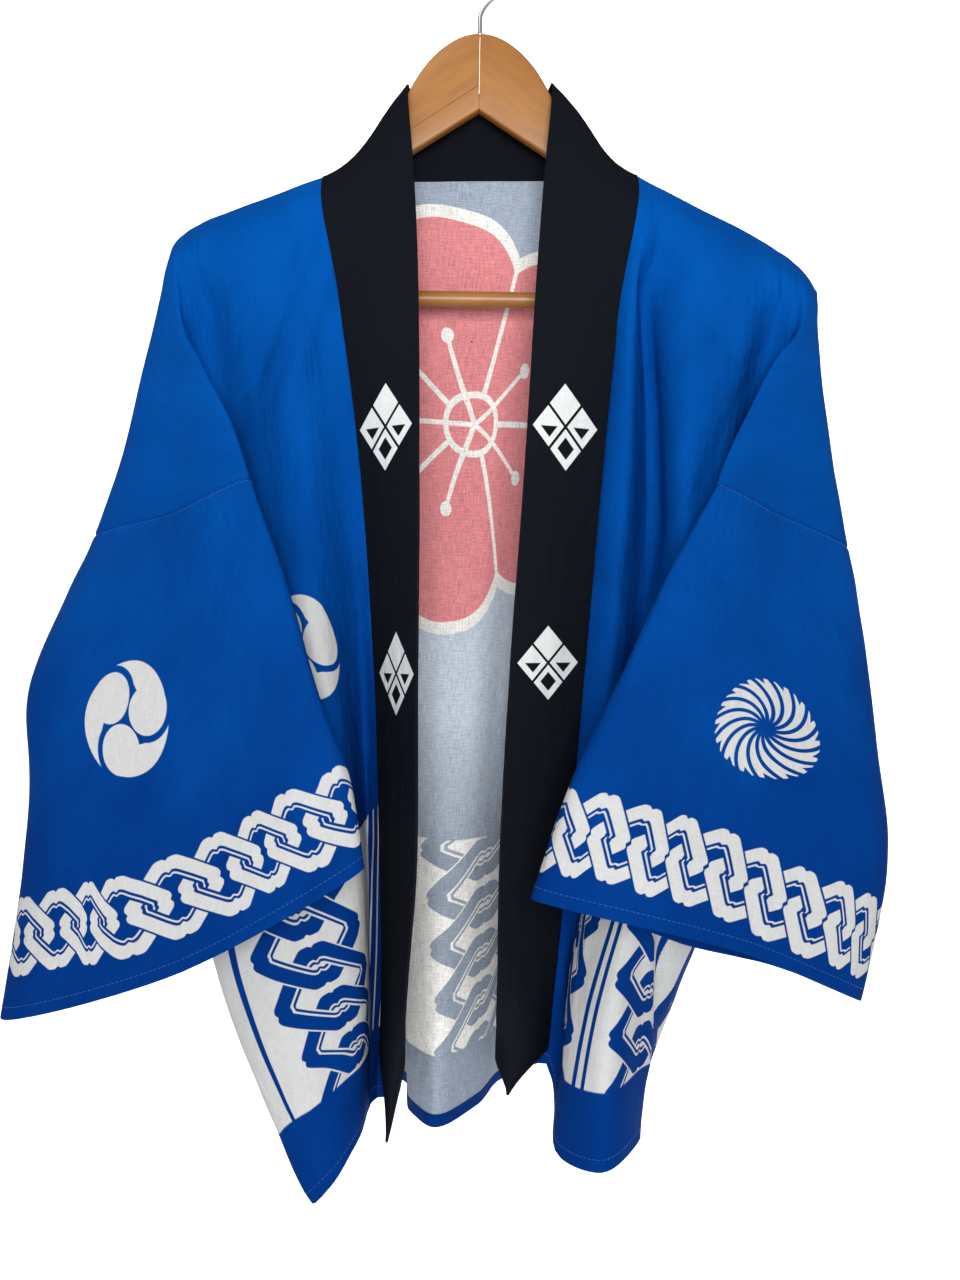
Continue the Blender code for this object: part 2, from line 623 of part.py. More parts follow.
def hanger():
    wood = material("varnished wood", (0.42, 0.2, 0.07), 0.4)
    steel = material("bright steel", (0.62, 0.62, 0.63), 0.25, 1.0)
    arm("hanger_arm_right", -1, wood)
    arm("hanger_arm_left", 1, wood)
    reach = ARM_END[-1][0] - SEAM
    ends = [tilted(side * reach, -247.5) for side in (-1, 1)]
    path = [(x - side * 1.6, 0, z) for (x, z), side in zip(ends, (-1, 1))]
    round_bar("trouser_bar", path, BAR, 3, wood)
    round_bar("hook", hook_path(), WIRE, 2, steel)


def main():
    for thing in list(bpy.data.objects):
        bpy.data.objects.remove(thing)
    cloth()
    hanger()


main()
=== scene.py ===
# A cotton happi coat that hangs open on a flat wooden hanger: the cloth with its folds and
# turned hems, the prints, the stitches and the hanger. The scene is in metres. The tables of
# the drape are in millimetres, as a tailor would note them.

import functools
import math

import bmesh
import bpy
import numpy as np
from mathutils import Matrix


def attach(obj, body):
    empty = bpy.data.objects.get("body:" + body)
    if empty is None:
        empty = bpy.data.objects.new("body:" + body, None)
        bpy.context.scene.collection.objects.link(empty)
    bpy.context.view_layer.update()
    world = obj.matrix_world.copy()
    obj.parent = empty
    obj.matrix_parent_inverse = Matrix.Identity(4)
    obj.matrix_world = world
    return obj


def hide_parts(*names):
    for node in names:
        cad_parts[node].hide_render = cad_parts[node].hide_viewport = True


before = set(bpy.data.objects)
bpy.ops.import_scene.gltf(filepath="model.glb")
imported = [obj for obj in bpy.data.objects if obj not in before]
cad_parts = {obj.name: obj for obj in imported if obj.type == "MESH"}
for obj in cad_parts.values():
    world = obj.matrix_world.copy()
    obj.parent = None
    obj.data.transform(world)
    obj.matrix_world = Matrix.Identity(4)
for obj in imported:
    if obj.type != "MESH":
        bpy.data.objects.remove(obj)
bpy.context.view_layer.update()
mm = 0.001

view = {"place": (0, -1.0, -0.487), "lens": 40, "film": 36}
room = {"floor": -1.12, "near": -3.0, "wall": 2.4, "bend": 0.8, "top": 3.2, "half": 5.0,
        "steps": 16, "colour": (0.86, 0.86, 0.86), "specks": 40.0, "mottle": 0.06,
        "rough": 0.9, "sky": 0.35}
lamps = [  # name, place, aims at, size, watts
    ("window", (-0.8, -1.4, 1.3), (0, 0, -0.4), 1.3, 10),
    ("front", (0.1, -2.0, -0.3), (0, 0, -0.5), 0.7, 33),
    ("backdrop", (0, 0.9, 0.9), (0, 2.4, -0.3), 2.4, 100),
]


class Wire:
    # A socket to reckon with: every operator adds its own Math node.
    def __init__(self, tree, socket):
        self.tree = tree
        self.socket = socket

    def math(self, operation, *others, clamp=False):
        inputs = dict(enumerate((self, *others)))
        return addNode(self.tree, "ShaderNodeMath",
                       {"operation": operation, "use_clamp": clamp}, inputs)

    def __add__(self, other):
        return self.math("ADD", other)

    def __mul__(self, other):
        return self.math("MULTIPLY", other)

    def __sub__(self, other):
        return self.math("SUBTRACT", other)

    def __rsub__(self, other):
        return (self * -1) + other

    def __truediv__(self, other):
        return self.math("DIVIDE", other)

    def size(self):
        return self.math("ABSOLUTE")

    def least(self, other):
        return self.math("MINIMUM", other)

    def most(self, other):
        return self.math("MAXIMUM", other)

    def wrapped(self, span):
        return self.math("FLOORED_MODULO", span)

    def below(self, edge, soft=0.25):
        # 1 under the edge, 0 over it
        return self.math("MULTIPLY_ADD", -0.5 / soft, 0.5 + edge * 0.5 / soft, clamp=True)

    def between(self, low, high, soft=0.25):
        return self.below(high, soft) - self.below(low, soft)


def addNode(tree, kind, settings=None, inputs=None, output=0):
    # Settings are set first, because some of them change the node's sockets.
    node = tree.nodes.new(kind)
    for name, value in (settings or {}).items():
        setattr(node, name, value)
    for key, value in (inputs or {}).items():
        if isinstance(value, Wire):
            tree.links.new(value.socket, node.inputs[key])
        else:
            node.inputs[key].default_value = value
    return Wire(tree, node.outputs[output])


def joined(tree, x, y, z=0.0):
    return addNode(tree, "ShaderNodeCombineXYZ", inputs={0: x, 1: y, 2: z})


def split(tree, vector):
    node = tree.nodes.new("ShaderNodeSeparateXYZ")
    tree.links.new(vector.socket, node.inputs[0])
    return [Wire(tree, socket) for socket in node.outputs]


def objectPlace(tree):
    return addNode(tree, "ShaderNodeTexCoord", output=3)  # Object coordinates


def length(a, b):
    return (a * a + b * b).math("SQRT")


def anyOf(masks):
    return functools.reduce(Wire.most, masks)


def mixed(tree, share, first, second, blend="MIX"):
    return addNode(tree, "ShaderNodeMix", {"data_type": "RGBA", "blend_type": blend},
                   {0: share, 6: rgba(first), 7: rgba(second)}, output=2)


def rgba(colour):
    return colour if isinstance(colour, Wire) else (*colour, 1.0)


def noise(tree, place, scale, detail=2.0, rough=0.5):
    inputs = {"Vector": place, "Scale": scale, "Detail": detail, "Roughness": rough}
    return addNode(tree, "ShaderNodeTexNoise", inputs=inputs)


def newMaterial(name):
    made = bpy.data.materials.new(name)
    made.use_nodes = True
    return made, made.node_tree, made.node_tree.nodes["Principled BSDF"]


def bumped(tree, height, strength, deep, **more):
    inputs = {"Height": height, "Strength": strength, "Distance": deep, **more}
    return addNode(tree, "ShaderNodeBump", inputs=inputs)


def plug(tree, shader, **sockets):
    # Spaces in a socket's name are written as underscores.
    for name, value in sockets.items():
        socket = shader.inputs[name.replace("_", " ")]
        if isinstance(value, Wire):
            tree.links.new(value.socket, socket)
        else:
            socket.default_value = value


def place(name, mesh, materials):
    for made in materials:
        mesh.materials.append(made)
    thing = bpy.data.objects.new(name, mesh)
    bpy.context.scene.collection.objects.link(thing)
    return thing


def plain(thing):
    # The modifiers' result as a mesh of its own.
    graph = bpy.context.evaluated_depsgraph_get()
    mesh = bpy.data.meshes.new_from_object(thing.evaluated_get(graph))
    thing.modifiers.clear()
    thing.data = mesh
    return thing


# Camera, backdrop and lights

def makeCamera():
    data = bpy.data.cameras.new("camera")
    data.lens = view["lens"]
    data.sensor_width = view["film"]
    camera = bpy.data.objects.new("camera", data)
    camera.location = view["place"]
    camera.rotation_euler = (math.radians(90), 0, 0)
    bpy.context.scene.collection.objects.link(camera)
    bpy.context.scene.camera = camera
    bpy.context.scene.view_settings.view_transform = "Standard"


def makeRoom():
    # One pale sheet: floor, bend and wall.
    profile = [(room["near"], room["floor"])]
    for n in range(room["steps"] + 1):
        turn = math.pi / 2 * n / room["steps"]
        profile.append((room["wall"] - room["bend"] * (1 - math.sin(turn)),
                        room["floor"] + room["bend"] * (1 - math.cos(turn))))
    profile.append((room["wall"], room["top"]))
    spots = [(side * room["half"], y, z) for side in (-1, 1) for y, z in profile]
    count = len(profile)
    faces = [(n, n + count, n + count + 1, n + 1) for n in range(count - 1)]
    mesh = bpy.data.meshes.new("backdrop")
    mesh.from_pydata(spots, [], faces)
    mesh.shade_smooth()
    made, tree, shader = newMaterial("pale paint")
    specks = noise(tree, objectPlace(tree), room["specks"])
    shade = mixed(tree, specks * room["mottle"], room["colour"], (1, 1, 1))
    plug(tree, shader, Base_Color=shade, Roughness=room["rough"])
    place("backdrop", mesh, [made])
    world = bpy.data.worlds.new("sky")
    bpy.context.scene.world = world
    world.use_nodes = True
    sky = world.node_tree.nodes["Background"]
    sky.inputs["Color"].default_value = (1, 1, 1, 1)
    sky.inputs["Strength"].default_value = room["sky"]


def makeLamps():
    for name, spot, aim, size, watts in lamps:
        data = bpy.data.lights.new(name, "AREA")
        data.size = size
        data.energy = watts
        lamp = bpy.data.objects.new(name, data)
        lamp.location = spot
        way = [a - b for a, b in zip(aim, spot)]
        flat = math.hypot(way[0], way[1])
        lamp.rotation_euler = (math.atan2(flat, -way[2]), 0, math.atan2(-way[0], way[1]))
        bpy.context.scene.collection.objects.link(lamp)


makeCamera()
makeRoom()
makeLamps()
print("camera, room and lights are up")


# The drape. Each panel is a set of fold lines that run down the cloth, and a net of points is
# stretched smoothly over them. Neighbouring panels share the points of their seams.

# Fold lines of the wearer's right front, from the shoulder down to the hem: x, y, z.
# "seam" is where the collar is sewn on and "side" ends in the side seam.
frontRight = {
    "seam": [(-110, 0, -162), (-97, -24, -249), (-81, -34, -368), (-71, -38, -504),
             (-67, -38, -629), (-66, -36, -721), (-69, -34, -797)],
    "dip": [(-122, 0, -166), (-109, -26, -252), (-93, -36, -362), (-81, -32, -487),
            (-76, -22, -618), (-75, -18, -722), (-75, -20, -806)],
    "crest": [(-140, 0, -173), (-129, -30, -255), (-117, -52, -354), (-107, -66, -474),
              (-89, -70, -585), (-80, -68, -697), (-81, -72, -815)],
    "swell": [(-175, 0, -186), (-165, -24, -266), (-148, -36, -352), (-147, -46, -460),
              (-145, -56, -580), (-134, -85, -700), (-94, -92, -834)],
    "side": [(-197, 0, -195), (-191, -11, -262), (-184, -14, -345), (-189, -10, -450),
             (-194, -20, -555), (-177, -55, -700), (-101, -100, -840)],
}
# The same front's flap between the hanger's end, the shoulder line and the sleeve seam.
flapRight = {
    "under": [(-204.5, 0, -199), (-200, -17, -258), (-198, -33, -330), (-195, -48, -398),
              (-186, -62, -460)],
    "fold": [(-211, 0, -204), (-205, -24, -262), (-184, -48, -307), (-162, -68, -348),
             (-148, -82, -384)],
    "broad": [(-216, 0, -210.5), (-217, -15, -259), (-215, -28, -306), (-209, -42, -356),
              (-205, -52, -401)],
    "shoulder": [(-219, 0, -219), (-226, -3, -254), (-235, -6, -297), (-248, -9, -355),
                 (-267, -12, -416)],
}
frontLeft = {
    "seam": [(110, 0, -161), (97, -24, -251), (84, -34, -368), (72, -38, -494),
             (61, -36, -616), (52, -32, -705), (45, -30, -775)],
    "dip": [(119, 0, -166), (104, -32, -256), (97, -48, -370), (87, -50, -494),
            (73, -44, -615), (58, -34, -698), (48, -30, -784)],
    "pleat": [(129, 0, -171), (115, -14, -252), (117, -14, -369), (109, -28, -494),
              (85, -60, -626), (61, -72, -722), (52, -85, -820)],
    "crest": [(154, 0, -184), (143, -38, -264), (141, -50, -374), (125, -60, -494),
              (102, -85, -629), (83, -98, -722), (74, -108, -821)],
    "swell": [(186, 0, -200), (180, -32, -280), (163, -40, -379), (154, -45, -487),
              (133, -70, -631), (113, -62, -725), (105, -66, -816)],
    "side": [(208, 0, -213.5), (205, -11, -274), (185, -15, -363), (185, -10, -458),
             (187, -14, -560), (155, 5, -696), (90, 30, -835)],
}
flapLeft = {
    "under": [(216, 0, -218.5), (214, -17, -272), (208, -31, -340), (199, -46, -402),
              (188, -61, -462)],
    "fold": [(223.5, 0, -225), (220, -24, -271), (197, -45, -301), (172, -65, -346),
             (153, -80, -388)],
    "broad": [(230.5, 0, -233), (230, -15, -273), (219, -30, -313), (208, -42, -359),
              (201, -50, -402)],
    "shoulder": [(237, 0, -243), (236.5, -4, -275), (239, -8, -316), (245, -11, -366),
                 (254, -14, -424)],
}
# The back hangs in deep folds. Its first and last lines stop at the armholes, and the
# fronts' side seams go on from there.
backLines = {
    "side_right": [(-197, 0, -195), (-197, 18, -262), (-192, 24, -345), (-195, 8, -450),
                   (-194, -20, -555)],
    "swell_right": [(-175, 0, -186), (-164, 26, -262), (-160, 42, -350), (-186, 38, -465),
                    (-184, 24, -575), (-160, 4, -705), (-108, -16, -833)],
    "crest_right": [(-140, 0, -173), (-132, 27, -258), (-134, 48, -350), (-150, 66, -465),
                    (-168, 72, -580), (-150, 70, -705), (-124, 75, -828)],
    "dip_right": [(-122, 0, -166), (-112, 25, -255), (-108, 40, -350), (-112, 58, -465),
                  (-124, 84, -580), (-112, 108, -705), (-95, 132, -826)],
    "neck_right": [(-110, 0, -162), (-94, 26, -252), (-84, 42, -350), (-76, 52, -465),
                   (-80, 66, -585), (-72, 84, -705), (-60, 102, -827)],
    "nape_right": [(-58, 17, -159), (-52, 27, -252), (-50, 42, -350), (-50, 42, -465),
                   (-52, 38, -590), (-52, 34, -710), (-50, 30, -828)],
    "nape": [(-6, 22, -157), (-8, 30, -252), (-10, 38, -350), (-14, 34, -465),
             (-20, 22, -590), (-28, 8, -710), (-33, -4, -828)],
    "nape_left": [(53, 18, -158), (46, 28, -252), (36, 42, -350), (26, 44, -465),
                  (16, 42, -590), (6, 42, -710), (-3, 45, -828)],
    "neck_left": [(110, 0, -161), (94, 26, -252), (78, 44, -350), (60, 56, -465),
                  (44, 72, -590), (30, 90, -710), (15, 105, -828)],
    "dip_left": [(119, 0, -166), (106, 25, -256), (94, 42, -352), (84, 60, -465),
                 (72, 86, -590), (60, 112, -710), (42, 138, -826)],
    "pleat_left": [(129, 0, -171), (120, 26, -258), (114, 46, -354), (112, 66, -466),
                   (106, 94, -588), (94, 122, -708), (74, 146, -825)],
    "crest_left": [(154, 0, -184), (144, 27, -264), (140, 46, -358), (146, 66, -468),
                   (150, 84, -586), (130, 112, -706), (106, 132, -827)],
    "swell_left": [(186, 0, -200), (174, 26, -272), (166, 42, -360), (180, 42, -470),
                   (184, 44, -580), (160, 62, -702), (120, 78, -831)],
    "side_left": [(208, 0, -213.5), (212, 16, -275), (192, 24, -363), (191, 8, -458),
                  (187, -14, -560)],
}
backFlapRight = {
    "under": [(-204.5, 0, -199), (-206, 22, -265), (-203, 33, -345), (-210, 32, -430),
              (-215, 18, -500)],
    "fold": [(-211, 0, -204), (-216, 24, -262), (-222, 40, -325), (-226, 44, -385),
             (-225, 38, -440)],
    "broad": [(-216, 0, -210.5), (-223, 15, -257), (-233, 24, -315), (-243, 27, -368),
              (-250, 22, -424)],
}
backFlapLeft = {
    "under": [(216, 0, -218.5), (220, 20, -280), (208, 32, -355), (208, 32, -435),
              (209, 20, -503)],
    "fold": [(223.5, 0, -225), (229, 23, -280), (226, 39, -338), (225, 43, -393),
             (222, 38, -444)],
    "broad": [(230.5, 0, -233), (235, 14, -277), (237, 23, -328), (240, 26, -378),
              (243, 20, -430)],
}
# Sleeves from the first ring below the armhole to the cuff. "arm" is the underarm seam,
# and the lines from "arm" on are the hidden side.
sleeveRight = {
    "under": [(-140, -80, -508), (-128, -90, -557), (-106, -103, -595), (-88, -117, -634)],
    "fold": [(-123, -95, -451), (-101, -105, -521), (-82, -115, -573), (-72, -128, -626)],
    "broad": [(-189, -76, -445), (-192, -93, -524), (-183, -107, -595), (-183, -124, -691)],
    "shoulder": [(-283, -16, -460), (-304, -25, -524), (-301, -35, -599),
                 (-310, -55, -732)],
    "back_broad": [(-263, 8, -474), (-278, -6, -545), (-278, -28, -620), (-268, -60, -716)],
    "back_fold": [(-228, 18, -500), (-238, -4, -565), (-236, -42, -632),
                  (-222, -82, -700)],
    "back_under": [(-224, 6, -550), (-214, -24, -598), (-206, -58, -640),
                   (-168, -102, -676)],
    "arm": [(-184, -72, -570), (-168, -90, -604), (-146, -102, -628), (-112, -112, -643)],
}
sleeveLeft = {
    "under": [(133, -82, -512), (104, -96, -562), (78, -109, -603), (52, -121, -651)],
    "fold": [(119, -96, -447), (81, -112, -525), (56, -122, -576), (32, -131, -644)],
    "broad": [(185, -74, -461), (181, -95, -541), (172, -114, -613), (162, -128, -679)],
    "shoulder": [(259, -20, -463), (267, -30, -555), (269, -45, -633), (245, -60, -721)],
    "back_broad": [(248, 5, -474), (252, -8, -558), (246, -38, -634), (214, -66, -708)],
    "back_fold": [(224, 16, -505), (224, -4, -574), (216, -48, -640), (180, -90, -693)],
    "back_under": [(217, 6, -553), (203, -28, -602), (186, -66, -643), (130, -110, -678)],
    "arm": [(178, -70, -576), (158, -90, -610), (128, -105, -636), (82, -119, -659)],
}
# The collar's middle and free edge, from the wearer's right hem up round the neck and down
# to the left hem. "at" is the row of the right front counted up from -6, then the five
# neck lines of the back, then the rows of the left front from 4 on.
collarBand = {
    "at": [-6, -5, -4, -3, -2, -1, 0, 0.5, 0.75, 1, 2, 3, 3.25, 3.5, 4, 5, 6, 7, 8, 9, 10],
    "middle": [(-56, -90, -806), (-57, -66, -715), (-54, -67, -625), (-55, -66, -504),
               (-60, -57, -371), (-69, -38, -252), (-84, -19, -160), (-74, -2, -131),
               (-66, 5, -120), (-57, 14, -127), (-4, 19, -127), (52, 14, -126),
               (66, 5, -117), (75, -2, -127), (84, -19, -160), (67, -36, -253),
               (57, -53, -371), (46, -60, -494), (37, -61, -613), (31, -60, -700),
               (18, -84, -777)],
    "free": [(-51, -66, -781), (-47, -88, -708), (-41, -92, -621), (-40, -90, -503),
             (-40, -76, -374), (-42, -46, -255), (-46, -32, -166), (-50.5, -14, -110),
             (-50.5, -1, -97.5), (-49, 10, -98), (-2, 15, -98), (48, 10, -98),
             (50.5, -1, -96.5), (50.5, -14, -109), (45, -32, -166), (38, -42, -255),
             (30, -68, -373), (21, -76, -494), (14, -80, -610), (12, -80, -694),
             (11, -62, -763)],
}
# Where the net's columns lie between one fold line and the next, as shares of the way.
even = (1 / 3, 2 / 3, 1)
halves = (0.5, 1)
fromFold = (0.08, 0.24, 0.58, 1)
toEdge = (0.36, 0.66, 0.86, 1)
strips = {"seam": (0.45, 0.8, 1), "dip": (0.18, 0.5, 1), "pleat": (0.3, 0.65, 1),
          "crest": even, "swell": even}
flapStrips = [even, halves, halves, fromFold, toEdge]
sleeveStrips = flapStrips + [halves, halves, fromFold, halves, halves, even]

# A span is the way from one point of a fold line to the next. "panel", "flap" and "neck" count
# spans, "rows" and "rollRows" are the net's rows in one span and over the hanger, and "strip"
# its columns in each share of a strip. A sleeve takes its direction "leave" rows above its
# seam, and the prints take the columns' spacing from "mapRow", in spans.
weave = {"panel": 6, "flap": 4, "neck": 4, "rows": 28, "rollRows": 6, "strip": 4, "leave": 9,
         "mapRow": 5.4}
roll = {"out": 10.0, "down": 8.5, "at": 0.12}  # the turn over the hanger, "at" in spans
tipRoll = {"under": 0.9, "turn": 0.8, "fold": 0.75, "broad": 0.65}  # that turn on a flap's lines
turn = {"at": 4.0, "behind": 6.0, "grows": (0, 0.35, 1, 1, 1)}  # roundness of a sharp fold
armpit = {"point": 4, "lean": 0.5}  # its point on a side line, and how the cloth leans past it
coatSides = {"right": (frontRight, flapRight, backFlapRight, sleeveRight),
             "left": (frontLeft, flapLeft, backFlapLeft, sleeveLeft)}


def points(row):
    return np.array(row, float)


def eased(t):
    return t * t * (3 - 2 * t)


def smooth(knots, values, at):
    # A smooth curve through the values, with slopes from the parabola through each three.
    knots = np.asarray(knots, float)
    at = np.asarray(at, float)
    gaps = np.diff(knots)[:, None]
    rises = np.diff(values, axis=0) / gaps
    inner = (rises[:-1] * gaps[1:] + rises[1:] * gaps[:-1]) / (gaps[1:] + gaps[:-1])
    slopes = np.vstack([1.5 * rises[0] - 0.5 * inner[0], inner,
                        1.5 * rises[-1] - 0.5 * inner[-1]])
    k = np.clip(np.searchsorted(knots, at, side="right") - 1, 0, len(knots) - 2)
    gap = (knots[k + 1] - knots[k])[:, None]
    t = (at - knots[k])[:, None] / gap
    return ((1 + 2 * t) * (1 - t) ** 2 * values[k] + t * (1 - t) ** 2 * gap * slopes[k]
            + eased(t) * values[k + 1] + t * t * (t - 1) * gap * slopes[k + 1])


def rowPlaces(last):
    overHanger = np.linspace(0, roll["at"], weave["rollRows"])
    below = np.linspace(0, last, last * weave["rows"] + 1)
    return np.concatenate([overHanger, below[below > roll["at"] + 0.01]])


panelRows = rowPlaces(weave["panel"])
flapRows = rowPlaces(weave["flap"])


def rolled(row, side, share=1.0):
    # A fold line with its turn over the hanger, on the front (-1) or the back (1).
    line = points(row)
    out, drop = share * roll["out"], share * roll["down"]
    return np.vstack([line[0] + (0, -side * out, -drop), line[0],
                      line[0] + (0, side * out, -drop), line[1:]])


def down(line, places, over=True):
    knots = np.arange(len(line), dtype=float)
    if over:
        knots = np.concatenate([[-roll["at"], 0, roll["at"]], knots[1:-2]])
    return smooth(knots, points(line), places)


def across(lines, shares, before=None, after=None):
    # before and after only say how the cloth goes on past the net's edges.
    known = list(lines)
    start = 0 if before is None else 1
    if before is not None:
        known.insert(0, before)
    if after is not None:
        known.append(after)
    known = np.array(known)
    finer = []
    for strip in shares:
        marks = np.concatenate([[0], strip])
        at = np.arange(1, len(strip) * weave["strip"] + 1) / weave["strip"]
        finer.append(np.interp(at, np.arange(len(marks)), marks))
    rows = []
    for r in range(known.shape[1]):
        lengths = np.linalg.norm(np.diff(known[:, r], axis=0), axis=1)
        knots = np.concatenate([[0], np.cumsum(np.maximum(lengths, 0.5))])
        at = [[knots[start]]]
        for i, marks in enumerate(finer):
            a, b = knots[start + i], knots[start + i + 1]
            at.append(a + (b - a) * marks)
        rows.append(smooth(knots, known[:, r], np.concatenate(at)))
    return np.array(rows)


def beyond(flap, side, swell, otherSwell):
    # Where a panel goes past its side line. At the armpit it just ends.
    last = armpit["point"]
    end = points(side)[last]
    ahead = end + (end - points(swell)[last]) * armpit["lean"]
    line = np.vstack([points(flap)[:last], ahead, points(otherSwell)[last + 1:]])
    return down(line, panelRows, over=False)


def turned(fold, toward, side):
    fold, toward = points(fold), points(toward)
    way = toward - fold
    way /= np.linalg.norm(way, axis=-1, keepdims=True)
    return fold + way * turn["at"] + (0, -side * turn["behind"], 0)


def flapLines(flap, side):
    # A flap's lines start on the shoulder line and turn less and less towards its tip.
    lines = {name: points(row) for name, row in flap.items()}
    between = (2 * lines["fold"] + lines["under"]) / 3
    if side < 0:
        sharp = turned(lines["fold"], lines["under"], side)
        between = between + (sharp - between) * points(turn["grows"])[:, None]
    lines["turn"] = between
    folds = [down(rolled(lines[n], side, share), flapRows) for n, share in tipRoll.items()]
    return folds + [down(lines["shoulder"], flapRows, over=False)]


def flapNet(flap, side, inner, past, facing):
    # From a panel's side line to the shoulder line, on the front (-1) or the back (1)
    lines = [down(rolled(side, facing), flapRows)] + flapLines(flap, facing)
    return across(lines, flapStrips, before=down(rolled(inner, facing), flapRows),
                  after=down(past, flapRows, over=False))


def frontNet(front, flap, backSwell):
    names = list(front)
    lines = [down(rolled(front[n], -1), panelRows) for n in names]
    past = beyond(flap["under"], front["side"], front["swell"], backSwell)
    return across(lines, [strips[n] for n in names[:-1]], after=past)


def backNet(seams):
    # The seams are the fronts' side lines, which the back takes over below the armpits.
    names = list(backLines)
    lines = []
    for name in names:
        kind, side = (name + "_").split("_")[:2]
        if kind == "nape":
            lines.append(down(backLines[name], panelRows, over=False))
        elif kind == "side":
            upper = down(rolled(backLines[name], 1), flapRows)
            lines.append(np.vstack([upper, seams[side][len(upper):]]))
        else:
            lines.append(down(rolled(backLines[name], 1), panelRows))
    edges = [beyond(backFlap["under"], backLines["side_" + side], backLines["swell_" + side],
                    front["swell"])
             for side, (front, _, backFlap, _) in coatSides.items()]
    kinds = [name.split("_")[0].replace("neck", "seam") for name in names]
    shares = []
    for name, a, b in zip(names, kinds, kinds[1:]):
        if "nape" in (a, b):
            shares.append(even)
        elif name.endswith("left"):
            shares.append(strips[a])
        else:
            shares.append([1 - share for share in strips[b][-2::-1]] + [1])
    return across(lines, shares, before=edges[0], after=edges[1])


def sleeveNet(sleeve, front, back):
    # Rings from the armhole to the cuff, that leave the panels in the panels' own direction.
    def edge(row):
        return np.vstack([front[row], back[row][::-1][1:-1]])

    order = ["arm", "under", "fold", "broad", "shoulder", "back_broad", "back_fold",
             "back_under"]
    count = len(sleeve["arm"])
    rings = [edge(-1 - weave["leave"]), edge(-1)]
    for k in range(count):
        known = {n: points(sleeve[n][k]) for n in order}
        loop = []
        for n in order:
            if n == "fold":
                loop.append([turned(known["fold"], known["under"], -1)])
            loop.append([known[n]])
            if n == "shoulder":
                loop.append([turned(known["shoulder"], known["back_broad"], -1)])
            if n == "back_fold":
                loop.append([(2 * known["back_fold"] + known["back_under"]) / 3])
        loop.append(loop[0])
        ring = across(loop, sleeveStrips, before=loop[-2], after=loop[1])
        rings.append(ring[0][:-1])
    rings = np.array(rings)
    knots = [-weave["leave"] / weave["rows"], *range(count + 1)]
    at = np.linspace(0, count, count * weave["rows"] + 1)
    columns = [smooth(knots, rings[:, i], at) for i in range(rings.shape[1])]
    net = np.array(columns).transpose(1, 0, 2)
    return np.concatenate([net, net[:, :1]], axis=1)


def collarNet(right, left, back):
    neck = back[0][right.shape[1] - 1:back.shape[1] - left.shape[1] + 1]
    neckRows = np.linspace(0, weave["neck"], len(neck))
    at = np.concatenate([-panelRows[::-1], neckRows[1:-1], weave["neck"] + panelRows])
    sewn = np.vstack([right[::-1, 0], neck[1:-1], left[:, 0]])
    middle = smooth(collarBand["at"], points(collarBand["middle"]), at)
    free = smooth(collarBand["at"], points(collarBand["free"]), at)
    return across([sewn, middle, free], [even, even])


def clothNets():
    fronts, flaps, backFlaps = {}, {}, {}
    for side, (front, flap, backFlap, _) in coatSides.items():
        backSwell = backLines["swell_" + side]
        fronts[side] = frontNet(front, flap, backSwell)
        flaps[side] = flapNet(flap, front["side"], front["swell"], backFlap["broad"], -1)
        backFlap = {**backFlap, "shoulder": flap["shoulder"]}
        backFlaps[side] = flapNet(backFlap, backLines["side_" + side], backSwell,
                                  flap["broad"], 1)
    right, left = fronts.values()
    back = backNet({side: front[:, -1] for side, front in fronts.items()})
    right[0] = back[0][:right.shape[1]][::-1]
    left[0] = back[0][-left.shape[1]:]
    nets = {"front_" + side: [fronts[side], flaps[side]] for side in coatSides}
    nets["back"] = [back, *backFlaps.values()]
    for side, (_, _, _, sleeve) in coatSides.items():
        nets["sleeve_" + side] = [sleeveNet(sleeve, flaps[side], backFlaps[side])]
    nets["collar"] = [collarNet(right, left, back)]
    return nets


# Nets whose columns run the other way round, seen from outside
mirrored = {("front_left", 0), ("front_left", 1), ("back", 1), ("sleeve_left", 0)}


def arcs(net, axis):
    # Length along the net's rows or columns, from its first point.
    steps = np.linalg.norm(np.diff(net, axis=axis), axis=2)
    start = np.zeros_like(np.take(steps, [0], axis=axis))
    return np.concatenate([start, np.cumsum(steps, axis=axis)], axis=axis)


def clothMaps(nets):
    # Across and up the cloth in millimetres: the columns are the grain, and their spacing is
    # that at one row of the panel.
    maps = {}
    mapRow = int(weave["mapRow"] * weave["rows"])
    for name, group in nets.items():
        maps[name] = []
        for n, net in enumerate(group):
            rows, columns = net.shape[:2]
            up = arcs(net[::-1], 0)[::-1]
            if name == "collar":
                wide = np.repeat(arcs(net, 1)[rows // 2][None], rows, axis=0)
            elif name.startswith("sleeve"):
                wide = np.repeat(arcs(net, 1)[-1][None], rows, axis=0)
            elif n == 0:
                wide = np.repeat(arcs(net, 1)[mapRow][None], rows, axis=0)
                wide = wide - (wide[0, columns // 2] if name == "back" else 0)
            else:
                side = 0 if name == "back" and n == 1 else -1
                main = maps[name][0]
                way = -1 if side == 0 else 1
                up = up + main[rows - 1, side, 1]
                wide = main[0, side, 0] + way * arcs(net, 1)
            maps[name].append(np.stack([np.broadcast_to(wide, up.shape), up], axis=2))
    return maps


def shared(nets):
    # One list of points for all the cloth, and each net as numbers of that list.
    flat = np.concatenate([net.reshape(-1, 3) for group in nets.values() for net in group])
    _, first, index = np.unique(np.round(flat, 3), axis=0, return_index=True,
                                return_inverse=True)
    spots = flat[first]
    ids, start = {}, 0
    for name, group in nets.items():
        ids[name] = []
        for net in group:
            count = net.shape[0] * net.shape[1]
            ids[name].append(index.reshape(-1)[start:start + count].reshape(net.shape[:2]))
            start += count
    return spots, ids


